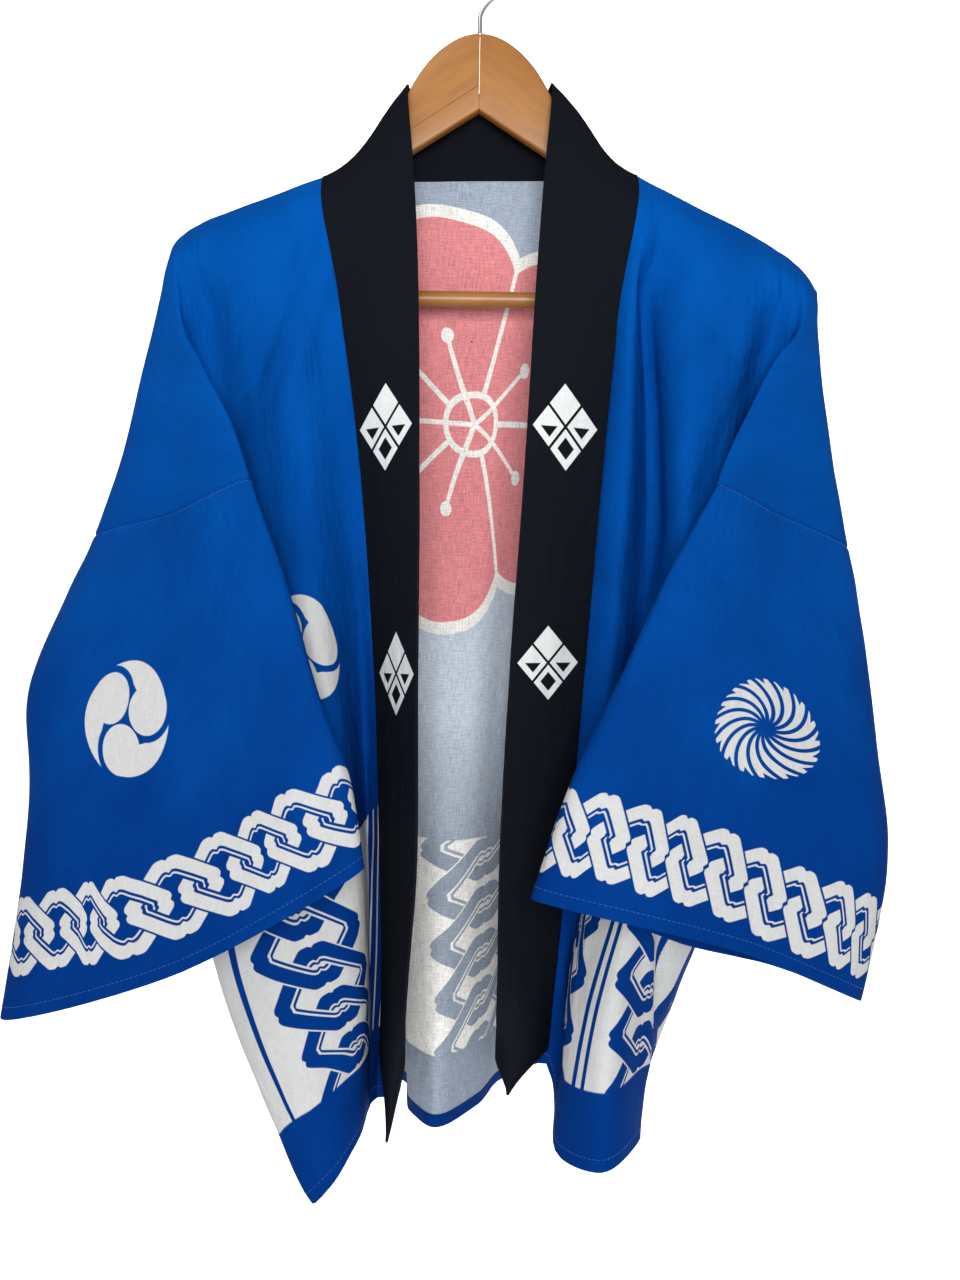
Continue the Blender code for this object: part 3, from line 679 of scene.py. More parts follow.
def squares(net, flipped):
    # Each square of a net as the ring of what the net holds at its corners
    a, b, c, d = net[:-1, :-1], net[1:, :-1], net[1:, 1:], net[:-1, 1:]
    ring = (a, b, c, d) if flipped else (a, d, c, b)
    return np.stack(ring, axis=2).reshape(-1, 4, *net.shape[2:])


def spotNormals(spots, ids):
    normals = np.zeros_like(spots)
    for name, group in ids.items():
        for n, net in enumerate(group):
            faces = squares(net, (name, n) in mirrored)
            p = spots[faces]
            square = np.cross(p[:, 2] - p[:, 0], p[:, 3] - p[:, 1])
            for corner in range(4):
                np.add.at(normals, faces[:, corner], square)
    return normals / np.maximum(np.linalg.norm(normals, axis=1), 1e-9)[:, None]


# Soft folds laid over the drape. A line of (x, z) runs over the face of a piece that looks to
# the front (-1) or the back (1). Each fold is its side, width, depth and line, and a trough has
# a depth below nought.
folds = {
    "front_right": [
        (-1, 6.5, -4.0, [(-109, -184), (-124, -230), (-142, -280), (-163, -335)]),
        (-1, 7.0, 3.5, [(-97, -190), (-108, -246), (-123, -303), (-141, -356)]),
        (-1, 3.5, -1.3, [(-202, -237), (-171, -233), (-134, -228)]),
        (-1, 4.5, -1.3, [(-204, -252), (-197, -276), (-190, -294)]),
        (-1, 12.0, 1.6, [(-98, -254), (-90, -338), (-84, -433), (-81, -528)]),
        (-1, 5.0, -1.3, [(-127, -374), (-107, -434), (-91, -494)]),
    ],
    "front_left": [
        (-1, 5.0, -5.0, [(110, -200), (114, -252), (119, -321), (120, -391), (117, -460)]),
        (-1, 9.0, 2.6, [(103, -213), (99, -283), (91, -373), (80, -474)]),
        (-1, 8.0, 2.6, [(127, -246), (130, -303), (133, -359), (134, -420)]),
        (-1, 8.0, -3.0, [(215, -259), (198, -289), (172, -338), (154, -380), (140, -420)]),
        (-1, 10.0, -2.0, [(140, -265), (156, -278), (178, -282)]),
        (-1, 4.5, -1.3, [(172, -306), (197, -287)]),
        (-1, 4.5, -1.2, [(116, -210), (149, -257), (167, -292)]),
        (-1, 5.0, 2.5, [(107, -620), (108, -660), (110, -700), (112, -750), (112, -790)]),
        (-1, 5.0, -5.0, [(119, -620), (119, -660), (121, -700), (122, -750), (121, -790)]),
    ],
    "sleeve_right": [
        (-1, 3.2, 1.6, [(-214, -407), (-178, -448), (-142, -476), (-110, -504)]),
        (-1, 5.0, -1.0, [(-233, -526), (-210, -582)]),
        (-1, 6.0, -1.0, [(-161, -525), (-111, -561)]),
    ],
    "sleeve_left": [
        (-1, 3.2, 1.6, [(214, -425), (167, -466), (124, -504), (84, -545)]),
        (-1, 5.0, -1.0, [(136, -567), (143, -604)]),
        (-1, 5.0, -1.0, [(101, -462), (180, -487)]),
        (-1, 4.0, -1.0, [(133, -436), (182, -461)]),
    ],
    "back": [
        (1, 2.2, -1.6, [(-60, -214), (-44, -232), (-22, -254), (-2, -275), (15, -294)]),
        (1, 9.0, 1.5, [(20, -326), (19, -428), (13, -531), (7, -633)]),
    ],
}
foldFade = 4  # a fold fades over a quarter of its length, and where the cloth turns away
# The collar's ends taper: side, x and height of each tip, and how the width grows upwards
bandEnds = {"middle": -20.0, "tips": [(-1, -60.0, 44.0), (1, 17.0, 15.0)], "narrow": 0.06,
            "grows": 0.7}
seamDip = (-0.9, -0.35)  # how far the first rows of a sleeve sink at its seam
# Two noises ripple the cloth, less near the hanger, where it is taut, and on the collar
ripples = {"seed": 7, "long": (52.0, 52.0, 130.0), "deep": 1.15, "fine": (15.0, 15.0, 26.0),
           "fineDeep": 0.4, "lattice": 24, "shift": 100.0, "taut": -160.0, "looser": 60.0,
           "collar": 0.5}


def along(line, x, z):
    # Distance from a line of (x, z), and how far along it the nearest point lies, from 0 to 1.
    line = points(line)
    steps = np.linalg.norm(np.diff(line, axis=0), axis=1)
    starts = np.concatenate([[0], np.cumsum(steps)])
    best = np.full(x.shape, 1e9)
    share = np.zeros(x.shape)
    for n, (a, b) in enumerate(zip(line, line[1:])):
        way = b - a
        t = np.clip(((x - a[0]) * way[0] + (z - a[1]) * way[1]) / (way @ way), 0, 1)
        dx, dz = x - a[0] - t * way[0], z - a[1] - t * way[1]
        away = np.hypot(dx, dz)
        nearer = away < best
        best = np.where(nearer, away, best)
        share = np.where(nearer, (starts[n] + t * steps[n]) / starts[-1], share)
    return best, share


def creased(spots, normals, ids):
    # How far each point of the cloth moves out along its normal.
    moved = np.zeros(len(spots))
    for name, lines in folds.items():
        own = np.unique(np.concatenate([net.reshape(-1) for net in ids[name]]))
        p, n = spots[own], normals[own]
        for side, wide, deep, line in lines:
            away, share = along(line, p[:, 0], p[:, 2])
            ends = eased(np.clip(np.minimum(share, 1 - share) * foldFade, 0, 1))
            facing = np.clip(n[:, 1] * side * foldFade, 0, 1)
            moved[own] += deep * np.exp(-(away / wide) ** 2) * ends * facing
    return moved


def rippled(spots, cell, seed):
    # Smooth noise from -1 to 1 on a fixed lattice.
    rng = np.random.default_rng(seed)
    count = ripples["lattice"]
    lattice = rng.uniform(-1, 1, (count, count, count))
    q = spots / points(cell) + ripples["shift"]
    base = np.floor(q).astype(int)
    t = eased(q - base)
    total = np.zeros(len(spots))
    for corner in np.ndindex(2, 2, 2):
        share = np.prod(np.where(points(corner) > 0, t, 1 - t), axis=1)
        i, j, k = ((base + np.array(corner)) % count).T
        total += share * lattice[i, j, k]
    return total


cloth = {"wall": 0.8, "band": 2.0, "hem": 9.0, "hemWall": 0.5, "hemLift": 0.7, "round": 0.45,
         "sharp": 42}


def slab(skin, spots, normals, uv, wall, lift=0.0):
    # A skin of quads made solid: points, faces, a map point for each corner, and for each
    # face 0 outside, 1 inside or 2 on the rim. The rim bulges a little.
    used, local = np.unique(skin, return_inverse=True)
    faces = local.reshape(skin.shape)
    count = len(used)
    middle = spots[used] + normals[used] * lift
    edges = {}
    for f, ring in enumerate(faces):
        for i in range(4):
            a, b = int(ring[i]), int(ring[(i + 1) % 4])
            if a != b:
                edges[(a, b)] = (uv[f][i], uv[f][(i + 1) % 4])
    rim = [edge for edge in edges if edge[::-1] not in edges]
    out = np.zeros((count, 3))
    for a, b in rim:
        step = np.cross(middle[b] - middle[a], normals[used[a]] + normals[used[b]])
        step /= max(np.linalg.norm(step), 1e-9)
        out[a] += step
        out[b] += step
    ends = sorted({a for edge in rim for a in edge})
    row = {a: 2 * count + n for n, a in enumerate(ends)}
    bulge = out[ends] / np.maximum(np.linalg.norm(out[ends], axis=1), 1e-9)[:, None]
    half = normals[used] * wall / 2
    spotsOut = np.vstack([middle + half, middle - half,
                          middle[ends] + bulge * wall * cloth["round"]])
    allFaces = [faces, faces[:, ::-1] + count]
    allMaps = [uv, uv[:, ::-1]]
    kinds = [np.zeros(len(faces), int), np.ones(len(faces), int)]
    ringFaces, ringMaps = [], []
    for a, b in rim:
        ua, ub = edges[(a, b)]
        ringFaces += [(b, a, row[a], row[b]), (row[b], row[a], count + a, count + b)]
        ringMaps += [(ub, ua, ua, ub)] * 2
    allFaces.append(np.array(ringFaces))
    allMaps.append(np.array(ringMaps))
    kinds.append(np.full(len(ringFaces), 2))
    return (spotsOut, np.concatenate(allFaces), np.concatenate(allMaps),
            np.concatenate(kinds))


def clothMesh(name, slabs):
    # Slabs joined into one mesh. Each has its own material numbers for its three kinds.
    start = 0
    allSpots, allFaces, allMaps, allMats = [], [], [], []
    for (spots, faces, maps, kinds), numbers in slabs:
        allSpots.append(spots)
        allFaces.append(faces + start)
        allMaps.append(maps)
        allMats.append(np.array(numbers)[kinds])
        start += len(spots)
    mesh = bpy.data.meshes.new(name)
    faces = np.concatenate(allFaces)
    rings = [list(dict.fromkeys(ring)) for ring in faces.tolist()]
    maps = np.concatenate(allMaps)
    loops = [maps[f][[ring.index(v) for v in kept]]
             for f, (ring, kept) in enumerate(zip(faces.tolist(), rings))]
    mesh.from_pydata((np.vstack(allSpots) * mm).tolist(), [], rings)
    layer = mesh.uv_layers.new(name="cloth")
    layer.data.foreach_set("uv", (np.concatenate(loops) * mm).ravel())
    mesh.polygons.foreach_set("material_index", np.concatenate(allMats))
    mesh.shade_smooth()
    mesh.set_sharp_from_angle(angle=math.radians(cloth["sharp"]))
    return mesh


nets = clothNets()
maps = clothMaps(nets)
spots, ids = shared(nets)
normals = spotNormals(spots, ids)
move = creased(spots, normals, ids)
loose = 1 - np.exp(-((spots[:, 2] - ripples["taut"]) / ripples["looser"]) ** 2)
move += ripples["deep"] * loose * rippled(spots, ripples["long"], ripples["seed"])
move += ripples["fineDeep"] * loose * rippled(spots, ripples["fine"], ripples["seed"] + 1)
band = np.unique(ids["collar"][0])
move[band] *= ripples["collar"]
for name in ("sleeve_right", "sleeve_left"):
    for row, deep in enumerate(seamDip):
        move[np.unique(ids[name][0][row])] += deep
spots = spots + normals * move[:, None]
for side, tip, tall in bandEnds["tips"]:
    own = band[(spots[band, 0] - bandEnds["middle"]) * side > 0]
    rise = np.clip((spots[own, 2] - spots[own, 2].min()) / tall, 0, 1)
    grown = bandEnds["narrow"] + (1 - bandEnds["narrow"]) * rise ** bandEnds["grows"]
    spots[own, 0] = tip + (spots[own, 0] - tip) * grown
normals = spotNormals(spots, ids)
print("the cloth is draped:", len(spots), "points")


outOfSight = 1e6  # stands for the distance of a point that faces the other way
mostRest = 4.0  # millimetres from the nearest point of the net


def faceOf(name, n, rows=slice(None)):
    flipped = (name, n) in mirrored
    return squares(ids[name][n][rows], flipped), squares(maps[name][n][rows], flipped)


def spotOn(name, x, z, side=-1):
    # The map point under a place on the piece, and the 2 x 2 turn from its map to real
    # millimetres across and along the grain there.
    net = spots[ids[name][0]]
    facing = normals[ids[name][0]][..., 1] * side > 0.1
    away = np.hypot(net[..., 0] - x, net[..., 2] - z) + np.where(facing, 0, outOfSight)
    away[:2] = away[-2:] = outOfSight
    r, c = np.unravel_index(np.argmin(away + np.abs(net[..., 1]) * 1e-4), away.shape)
    grid = maps[name][0]
    c = min(max(c, 1), net.shape[1] - 2)
    steps = points([grid[r, c + 1] - grid[r, c - 1], grid[r - 1, c] - grid[r + 1, c]])
    du, dv = np.linalg.solve(steps, [net[r, c + 1] - net[r, c - 1],
                                     net[r - 1, c] - net[r + 1, c]])
    up = dv / np.linalg.norm(dv)
    wide = du - up * (du @ up)
    wide /= np.linalg.norm(wide)
    turnTo = np.array([[du @ wide, 0.0], [du @ up, dv @ up]])
    flat = np.array([du[[0, 2]], dv[[0, 2]]]).T
    rest = np.linalg.lstsq(flat, points((x, z)) - net[r, c][[0, 2]], rcond=None)[0]
    return grid[r, c] + np.clip(rest, -mostRest, mostRest), turnTo


# The prints. Every motif is drawn by its own rule on the cloth's map, in millimetres.
dyes = {
    # The paler upper colour of the outside is a painted sheen of the light from above.
    "outside": {"ground": (0.0, 0.027, 0.168), "white": (0.49, 0.495, 0.49),
                "red": (0.5, 0.012, 0.03), "paintedLightTone": (0.0, 0.087, 0.39)},
    # Inside, the ground is darkened by painted shade low down, the paler middle colour is
    # painted light, and the top colour is painted shade under the hanger and the collar.
    "inside": {"ground": (0.29, 0.335, 0.41), "white": (0.84, 0.82, 0.78),
               "red": (0.71, 0.25, 0.265), "paintedLightTone": (0.53, 0.6, 0.69),
               "top": (0.33, 0.385, 0.475)},
    "band": {"ground": (0.0065, 0.0075, 0.0115), "white": (0.7, 0.71, 0.7)},
}
# A link of a chain: a lozenge whose sides rise and fall at their angles, each pair by its half
# distance, how deep its corners are cut along and across the chain, the notch in the middle
# of each cut, its band, and the thin line inside the band. One link lies over the next on
# one side of the chain and under it on the other, and keeps a rim free that is "clear" times
# its gap.
linkSize = {"pitch": 34.0, "rising": (40.5, 24.1), "falling": (-40.5, 24.1),
            "cuts": (5.4, 6.2), "band": 7.9, "gap": 1.8, "line": 1.1, "notch": 1.4,
            "mouth": 2.2, "notchFade": 2.0, "round": 2.5, "clear": 0.7, "over": 1}
column = {**linkSize, "rising": (49.0, 29.0), "falling": (-49.0, 29.0), "cuts": (7.2, 4.5),
          "band": 9.2, "gap": 1.3, "line": 1.8, "over": -1}
links = {
    "sleeve_right": linkSize,
    "sleeve_left": {**linkSize, "rising": (41.0, 20.7), "falling": (-49.0, 23.1),
                    "pitch": 28.1, "cuts": (3.2, 5.8)},
    "column": column,
    "inside column": {**column, "over": 1},
}
chartPoints = 64
# The hem's pale zone, and the levels where the lines and the fold have their places
hemZone = {"low": 48.5, "high": 199.0, "soft": 0.5, "lineLevel": 105, "foldLevel": 84}
tomoeSize = {"radius": 36.0, "spin": 12, "head": 0.44, "from": 0.53, "gap": 0.06, "tail": 0.72,
             "sweep": 138.0, "swell": 60.0, "rise": 0.04}
rosetteSize = {"radius": 36.0, "hub": 6.3, "blades": 16, "gap": 2.7, "sweep": 1.08,
               "notch": 3.6, "notchAt": 0.55, "notchWide": 0.2}
blossomSize = {"petals": 5, "petal": 66.0, "from": 84.0, "outline": 9.0, "vein": 2.2,
               "eye": 24.0, "eyeRing": 5.0, "stamen": 1.8, "stamenEnd": 66.0, "anther": 5.5}
crestSize = {"half": 33.0, "lean": 0.64, "gap": 3.4, "band": 8.0, "reach": (36.0, 60.0)}


def linkSides(size):
    # The normals and half distances of the two pairs of sides, and the cuts of the corners:
    # normal, half distance, and how far aside of the normal a corner lies.
    sides = []
    for angle, off in (size["rising"], size["falling"]):
        lean = math.radians(angle)
        sides.append((points((-math.sin(lean), math.cos(lean))), off))
    (up, far), (down, near) = sides
    cuts = []
    for way, deep in zip((-1, 1), size["cuts"]):
        corner = np.linalg.solve([up * way, down], [far, near])
        normal = up * way + down
        normal /= np.linalg.norm(normal)
        reach = corner @ normal
        aside = (corner[1] * normal[0] - corner[0] * normal[1]) / reach
        cuts.append((normal, reach - deep, aside))
    return sides, cuts


def chain(t, c, size):
    # Links that lie over one another in turn: t runs along the chain and c across it.
    thick = size["band"] + size["gap"] + size["line"]
    here = t.wrapped(size["pitch"])
    sides, cuts = linkSides(size)
    made = []
    for x in (here, here - size["pitch"]):
        first, second = [(x * a + c * b).size() - off for (a, b), off in sides]
        away = first.math("SMOOTH_MAX", second, size["round"])
        for (a, b), off, aside in cuts:
            along = x * a + c * b
            beside = (c * a - x * b - along * aside).size()
            notch = (1 - beside * (1 / size["mouth"])).most(0.0) * size["notch"]
            cut = along.size() - off
            deep = cut.below(-thick - size["notchFade"], size["notchFade"] / 2)
            away = away.math("SMOOTH_MAX", cut, size["round"]) + notch * (1 - deep)
        ink = away.between(-size["band"], 0)
        ink = ink.most(away.between(-thick, -thick + size["line"]))
        cover = away.between(-thick - size["gap"], size["gap"] * size["clear"])
        made.append((ink, cover))
    (ink, cover), (otherInk, otherCover) = made
    over = ink.most(otherInk * (1 - cover))
    under = otherInk.most(ink * (1 - otherCover))
    lower = (c * size["over"]).below(0.0)
    return over * (1 - lower) + under * lower


def curved(tree, at, low, high, values):
    # The line through evenly spaced values, as a function of a wire from low to high. The
    # node's own curve runs from 0 to 1.
    bottom, top = min(values) - 1e-3, max(values) + 1e-3
    node = tree.nodes.new("ShaderNodeFloatCurve")
    marks = node.mapping.curves[0].points
    heights = [(value - bottom) / (top - bottom) for value in values]
    for n, height in enumerate(heights):
        x = n / (len(heights) - 1)
        mark = marks[0] if n == 0 else marks[-1] if x == 1 else marks.new(x, height)
        mark.location = (x, height)
        mark.handle_type = "VECTOR"
    node.mapping.update()
    share = (at - low) * (1 / (high - low))
    tree.links.new(share.socket, node.inputs["Value"])
    return Wire(tree, node.outputs[0]) * (top - bottom) + bottom


def chainChart(name, plan):
    # How a chain runs over the map, from the places where its links cross: the crossing's
    # number, its place across, and how a step across moves along the chain and away from it.
    axis = "uv".index(plan["along"])
    side = plan.get("side", -1)
    if "spots" in plan:
        places = points(plan["spots"])
        turns = np.tile(np.eye(2), (len(places), 1, 1))
    else:
        found = [spotOn(name, *eye, side=side) for eye in plan["eyes"]]
        places = points([spot for spot, _ in found])
        turns = points([turnTo for _, turnTo in found])
    order = places[:, axis]
    trend = np.polyfit(order, turns.reshape(-1, 4), 1)
    rows = []
    for k, spot in enumerate(places):
        turnTo = (trend[0] * spot[axis] + trend[1]).reshape(2, 2)
        before, after = max(k - 1, 0), min(k + 1, len(places) - 1)
        way = turnTo @ (places[after] - places[before])
        step = np.linalg.norm(way) / (after - before)
        way /= np.linalg.norm(way)
        aside = turnTo[:, 1 - axis]
        up = points((-way[1], way[0])) * plan["hand"]
        rows.append((k + 0.5, spot[1 - axis], aside @ way / step, aside @ up))
    order, rows = order[np.argsort(order)], points(rows)[np.argsort(order)]
    at = np.linspace(*plan["span"], chartPoints)
    inner = np.clip(at, order[0], order[-1])
    chart = smooth(order, rows, inner)
    pace = (rows[-1, 0] - rows[0, 0]) / (order[-1] - order[0])
    chart[:, 0] += (at - inner) * pace
    return chart


def chainOn(tree, u, v, name, plan):
    size = links[plan["link"]]
    chart = chainChart(name, plan)
    at, other = (u, v) if plan["along"] == "u" else (v, u)
    number, centre, lean, broad = [curved(tree, at, *plan["span"], list(chart[:, n]))
                                   for n in range(4)]
    off = other - centre
    if "repeat" in plan:
        half = plan["repeat"] / 2
        off = (off + half).wrapped(plan["repeat"]) - half
    c = broad * off
    t = (number + lean * off) * size["pitch"] + c * plan.get("lean", 0.0)
    return chain(t, c * plan.get("squeeze", 1.0), size)


def tomoe(a, b, size):
    # Three commas that chase one another
    r = size["radius"]
    far = length(a, b)
    angles = [math.radians(size["spin"] + 120 * k) for k in range(3)]
    heads = [length(a - r * size["from"] * math.cos(angle),
                    b - r * size["from"] * math.sin(angle)) for angle in angles]
    commas = []
    for k, angle in enumerate(angles):
        p = a * math.cos(angle) + b * math.sin(angle)
        q = b * math.cos(angle) - a * math.sin(angle)
        turnedBy = q.math("ARCTAN2", p).wrapped(2 * math.pi)
        share = turnedBy * (1 / math.radians(size["sweep"]))
        thin = (1 - share).most(0.0) * (size["tail"] * r)
        swell = (turnedBy * (1 / math.radians(size["swell"]))).least(1.0)
        edge = swell * (size["rise"] * r) + (1 - size["rise"]) * r
        tail = (far - edge).below(0.0) * (edge - far - thin).below(0.0) * share.below(1.0, 0.01)
        clear = 1 - heads[(k + 1) % 3].below((size["head"] + size["gap"] * 2) * r)
        commas.append(heads[k].below(size["head"] * r).most(tail * clear))
    return anyOf(commas)


def rosette(a, b, size):
    # Curved blades with forked tips round a bare hub
    r = size["radius"]
    far = length(a, b)
    turnedBy = b.math("ARCTAN2", a) - far * (size["sweep"] / r)
    step = 2 * math.pi / size["blades"]
    phase = turnedBy.wrapped(step) * (1 / step)
    slant = (far * far * (size["sweep"] / r) ** 2 + 1.0).math("SQRT")
    fromSide = (0.5 - (phase - 0.5).size()) * far * step / slant
    fork = (1 - (phase - size["notchAt"]).size() * (1 / size["notchWide"])).most(0.0)
    inside = (far + fork * size["notch"]).below(r) * (1 - far.below(size["hub"]))
    return inside * (1 - fromSide.below(size["gap"] / 2, 0.2))


def blossom(a, b, size):
    # A flower of round petals: the dyed petals, and the white of its outline and veins
    far = length(a, b)
    step = 2 * math.pi / size["petals"]
    bent = (b.math("ARCTAN2", a).wrapped(step) - step / 2).size()
    p, q = far * bent.math("COSINE"), far * bent.math("SINE")
    away = length(p - size["from"], q) - size["petal"]
    core = far.below(size["eye"])
    red = away.below(0.0).most(core)
    vein = (far * (step / 2 - bent).math("SINE")).below(size["vein"]) * (1 - core)
    stamen = q.below(size["stamen"]) * far.below(size["stamenEnd"])
    anther = length(p - size["stamenEnd"], q).below(size["anther"])
    eye = far.between(size["eye"] - size["eyeRing"], size["eye"])
    outline = away.below(size["outline"]).most(core)
    return red * (1 - anyOf([stamen, anther, vein, eye])), outline


def crest(a, b, size):
    # Four lozenges in a lozenge, hollow in its lower half
    half = size["half"]
    p, q = a * (1 / size["lean"]) + b, a * (1 / size["lean"]) - b
    whole = p.size().most(q.size()).below(half)
    cross = p.size().least(q.size()).below(size["gap"] / 2)
    inner = (p.size() - half / 2).size().most((q.size() - half / 2).size())
    hollow = inner.below(half / 2 - size["band"]) * b.below(0.0)
    return whole * (1 - cross) * (1 - hollow)


# Where the prints lie. A motif has its place on the piece and a squeeze: over 1 makes it
# narrower or lower, and below nought mirrors it. A chain's eyes are where its links cross.
columnPlan = {"along": "v", "link": "column", "span": (0, 260)}
sleevePlan = {"along": "u", "span": (0, 600)}
prints = {
    "sleeve_right": {
        "tomoe": {"at": (-227, -538), "squeeze": (-1.2, 0.94)},
        "chain": {**sleevePlan, "hand": -1, "link": "sleeve_right",
                  "eyes": [(-256, -667), (-235, -664), (-205, -654), (-173, -639),
                           (-143, -624), (-119, -608), (-93, -597)]}},
    "sleeve_left": {
        "rosette": {"at": (181, -543), "squeeze": (0.91, 1.13)},
        "chain": {**sleevePlan, "hand": 1, "link": "sleeve_left", "lean": -0.25,
                  "squeeze": 0.95,
                  "eyes": [(54, -604), (77, -606), (102, -615), (125, -621), (150, -631),
                           (177, -645), (203, -658), (229, -668), (246, -677)]}},
    "front_right": {  # each line has its place, width and lean
        "lines": [(148.0, 5.0, 0.0), (3.0, 11.0, -0.1), (15.0, 8.0, -0.1),
                  (25.0, 7.0, -0.1)],
        "tomoe": {"at": (-118, -493), "squeeze": (-1.05, 1.0)},
        "chains": [{**columnPlan, "hand": -1,
                    "eyes": [(-117, -665), (-104, -697), (-91, -725), (-80, -751)]}]},
    "front_left": {
        "lines": [(79.5, 4.0, 0.12), (87.5, 3.3, 0.11), (8.0, 40.0, 0.0)],
        "fold": (153.0, -0.46),  # its place and lean
        "pastFold": [(150.0, 5.0, 0.06), (203.0, 42.0, 0.53)],
        "chains": [{**columnPlan, "hand": 1, "spots": [(137, 139), (137, 101), (138, 65)]},
                   {**columnPlan, "hand": 1, "spots": [(32, 137), (30, 101), (25, 65)]}]},
    "back": {
        "blossom": {"at": (-4, -330), "side": 1},
        "chain": {**columnPlan, "link": "inside column", "hand": 1, "side": 1,
                  "squeeze": 0.82, "repeat": 150.0, "lean": 0.22,
                  "eyes": [(3, -644), (3, -679), (1, -714), (0, -749)]}},
    "collar": {
        "crests": [((-63, -345), (1.15, 1.12)), ((-55, -509), (1.7, 1.2)),
                   ((57, -345), (0.95, 1.12)), ((45, -502), (1.02, 1.35))]},
}


def local(u, v, name, motif):
    # Millimetres across and up from the middle of a motif
    (u0, v0), turnTo = spotOn(name, *motif["at"], side=motif.get("side", -1))
    du, dv = u - u0, v - v0
    squeeze = motif.get("squeeze", (1.0, 1.0))
    return [(du * a + dv * b) * share for (a, b), share in zip(turnTo, squeeze)]


def stripes(u, v, lines):
    return anyOf((u - (v - hemZone["lineLevel"]) * lean - at).size().below(wide / 2)
                 for at, wide, lean in lines)


def hemBand(v):
    return v.between(hemZone["low"], hemZone["high"], hemZone["soft"])


def sleevePrint(tree, u, v, name):
    mine = prints[name]
    white = chainOn(tree, u, v, name, mine["chain"])
    if "tomoe" in mine:
        motif = tomoe(*local(u, v, name, mine["tomoe"]), tomoeSize)
    else:
        motif = rosette(*local(u, v, name, mine["rosette"]), rosetteSize)
    return [(white.most(motif), "white")]


def frontPrint(tree, u, v, name):
    mine = prints[name]
    blue = stripes(u, v, mine["lines"])
    for plan in mine["chains"]:
        blue = blue.most(chainOn(tree, u, v, name, plan))
    if "fold" in mine:  # past the fold another width of the cloth shows
        at, rise = mine["fold"]
        near = (u - (v - hemZone["foldLevel"]) * rise).below(at)
        blue = (blue * near).most(stripes(u, v, mine["pastFold"]) * (1 - near))
    white = hemBand(v) * (1 - blue)
    if "tomoe" in mine:
        motif = tomoe(*local(u, v, name, mine["tomoe"]), tomoeSize)
        white = white.most(motif)
    return [(white, "white")]


def backPrint(tree, u, v, name):
    mine = prints[name]
    white = hemBand(v) * (1 - chainOn(tree, u, v, name, mine["chain"]))
    red, outline = blossom(*local(u, v, name, mine["blossom"]), blossomSize)
    return [(white.most(outline), "white"), (red, "red")]


def bandPrint(tree, u, v, name):
    # The crests stand upright on the band, and only on its outer face.
    x, _, z = split(tree, objectPlace(tree))
    wide, tall = crestSize["reach"]
    crests = []
    for at, squeeze in prints[name]["crests"]:
        (u0, v0), _ = spotOn(name, *at)
        a, b = [(side * 1000 - middle) * share
                for side, middle, share in zip((x, z), at, squeeze)]
        near = (u - u0).size().below(wide) * (v - v0).size().below(tall)
        crests.append(crest(a, b, crestSize) * near)
    return [(anyOf(crests), "white")]


painters = {"front_right": frontPrint, "front_left": frontPrint, "back": backPrint,
            "sleeve_right": sleevePrint, "sleeve_left": sleevePrint, "collar": bandPrint}


# Both faces grow paler upwards from a set low height, and the inside darkens again from a set
# height higher up; this is painted light and shade. Outside it is a painted sheen of the light
# from above on the upper cloth; inside it is painted shade low down, painted light in the middle
# and painted shade under the hanger and the collar at the top. Threads and washed patches change
# the tone a little, and specks of dye show through inside.
cotton = {
    "thread": 0.9, "streak": 9.0, "patch": 0.012, "speck": 1.1, "crease": (0.09, 0.05),
    "paintedLightLow": -650.0, "topShadeLow": -380.0, "topShadeSpan": 200.0, "patchFade": 0.5,
    "bump": 0.12, "bumpDeep": 0.0004, "creaseBump": 0.6, "creaseDeep": 0.003,
    "creaseTall": 0.9, "rough": 0.86, "threadRough": 0.06, "gloss": 0.03,
    "outside": {"paintedLightSpan": 560.0, "threads": 0.22, "washed": 0.16, "specks": 0.0},
    "inside": {"paintedLightSpan": 110.0, "threads": 0.6, "washed": 0.1, "specks": 0.85},
}


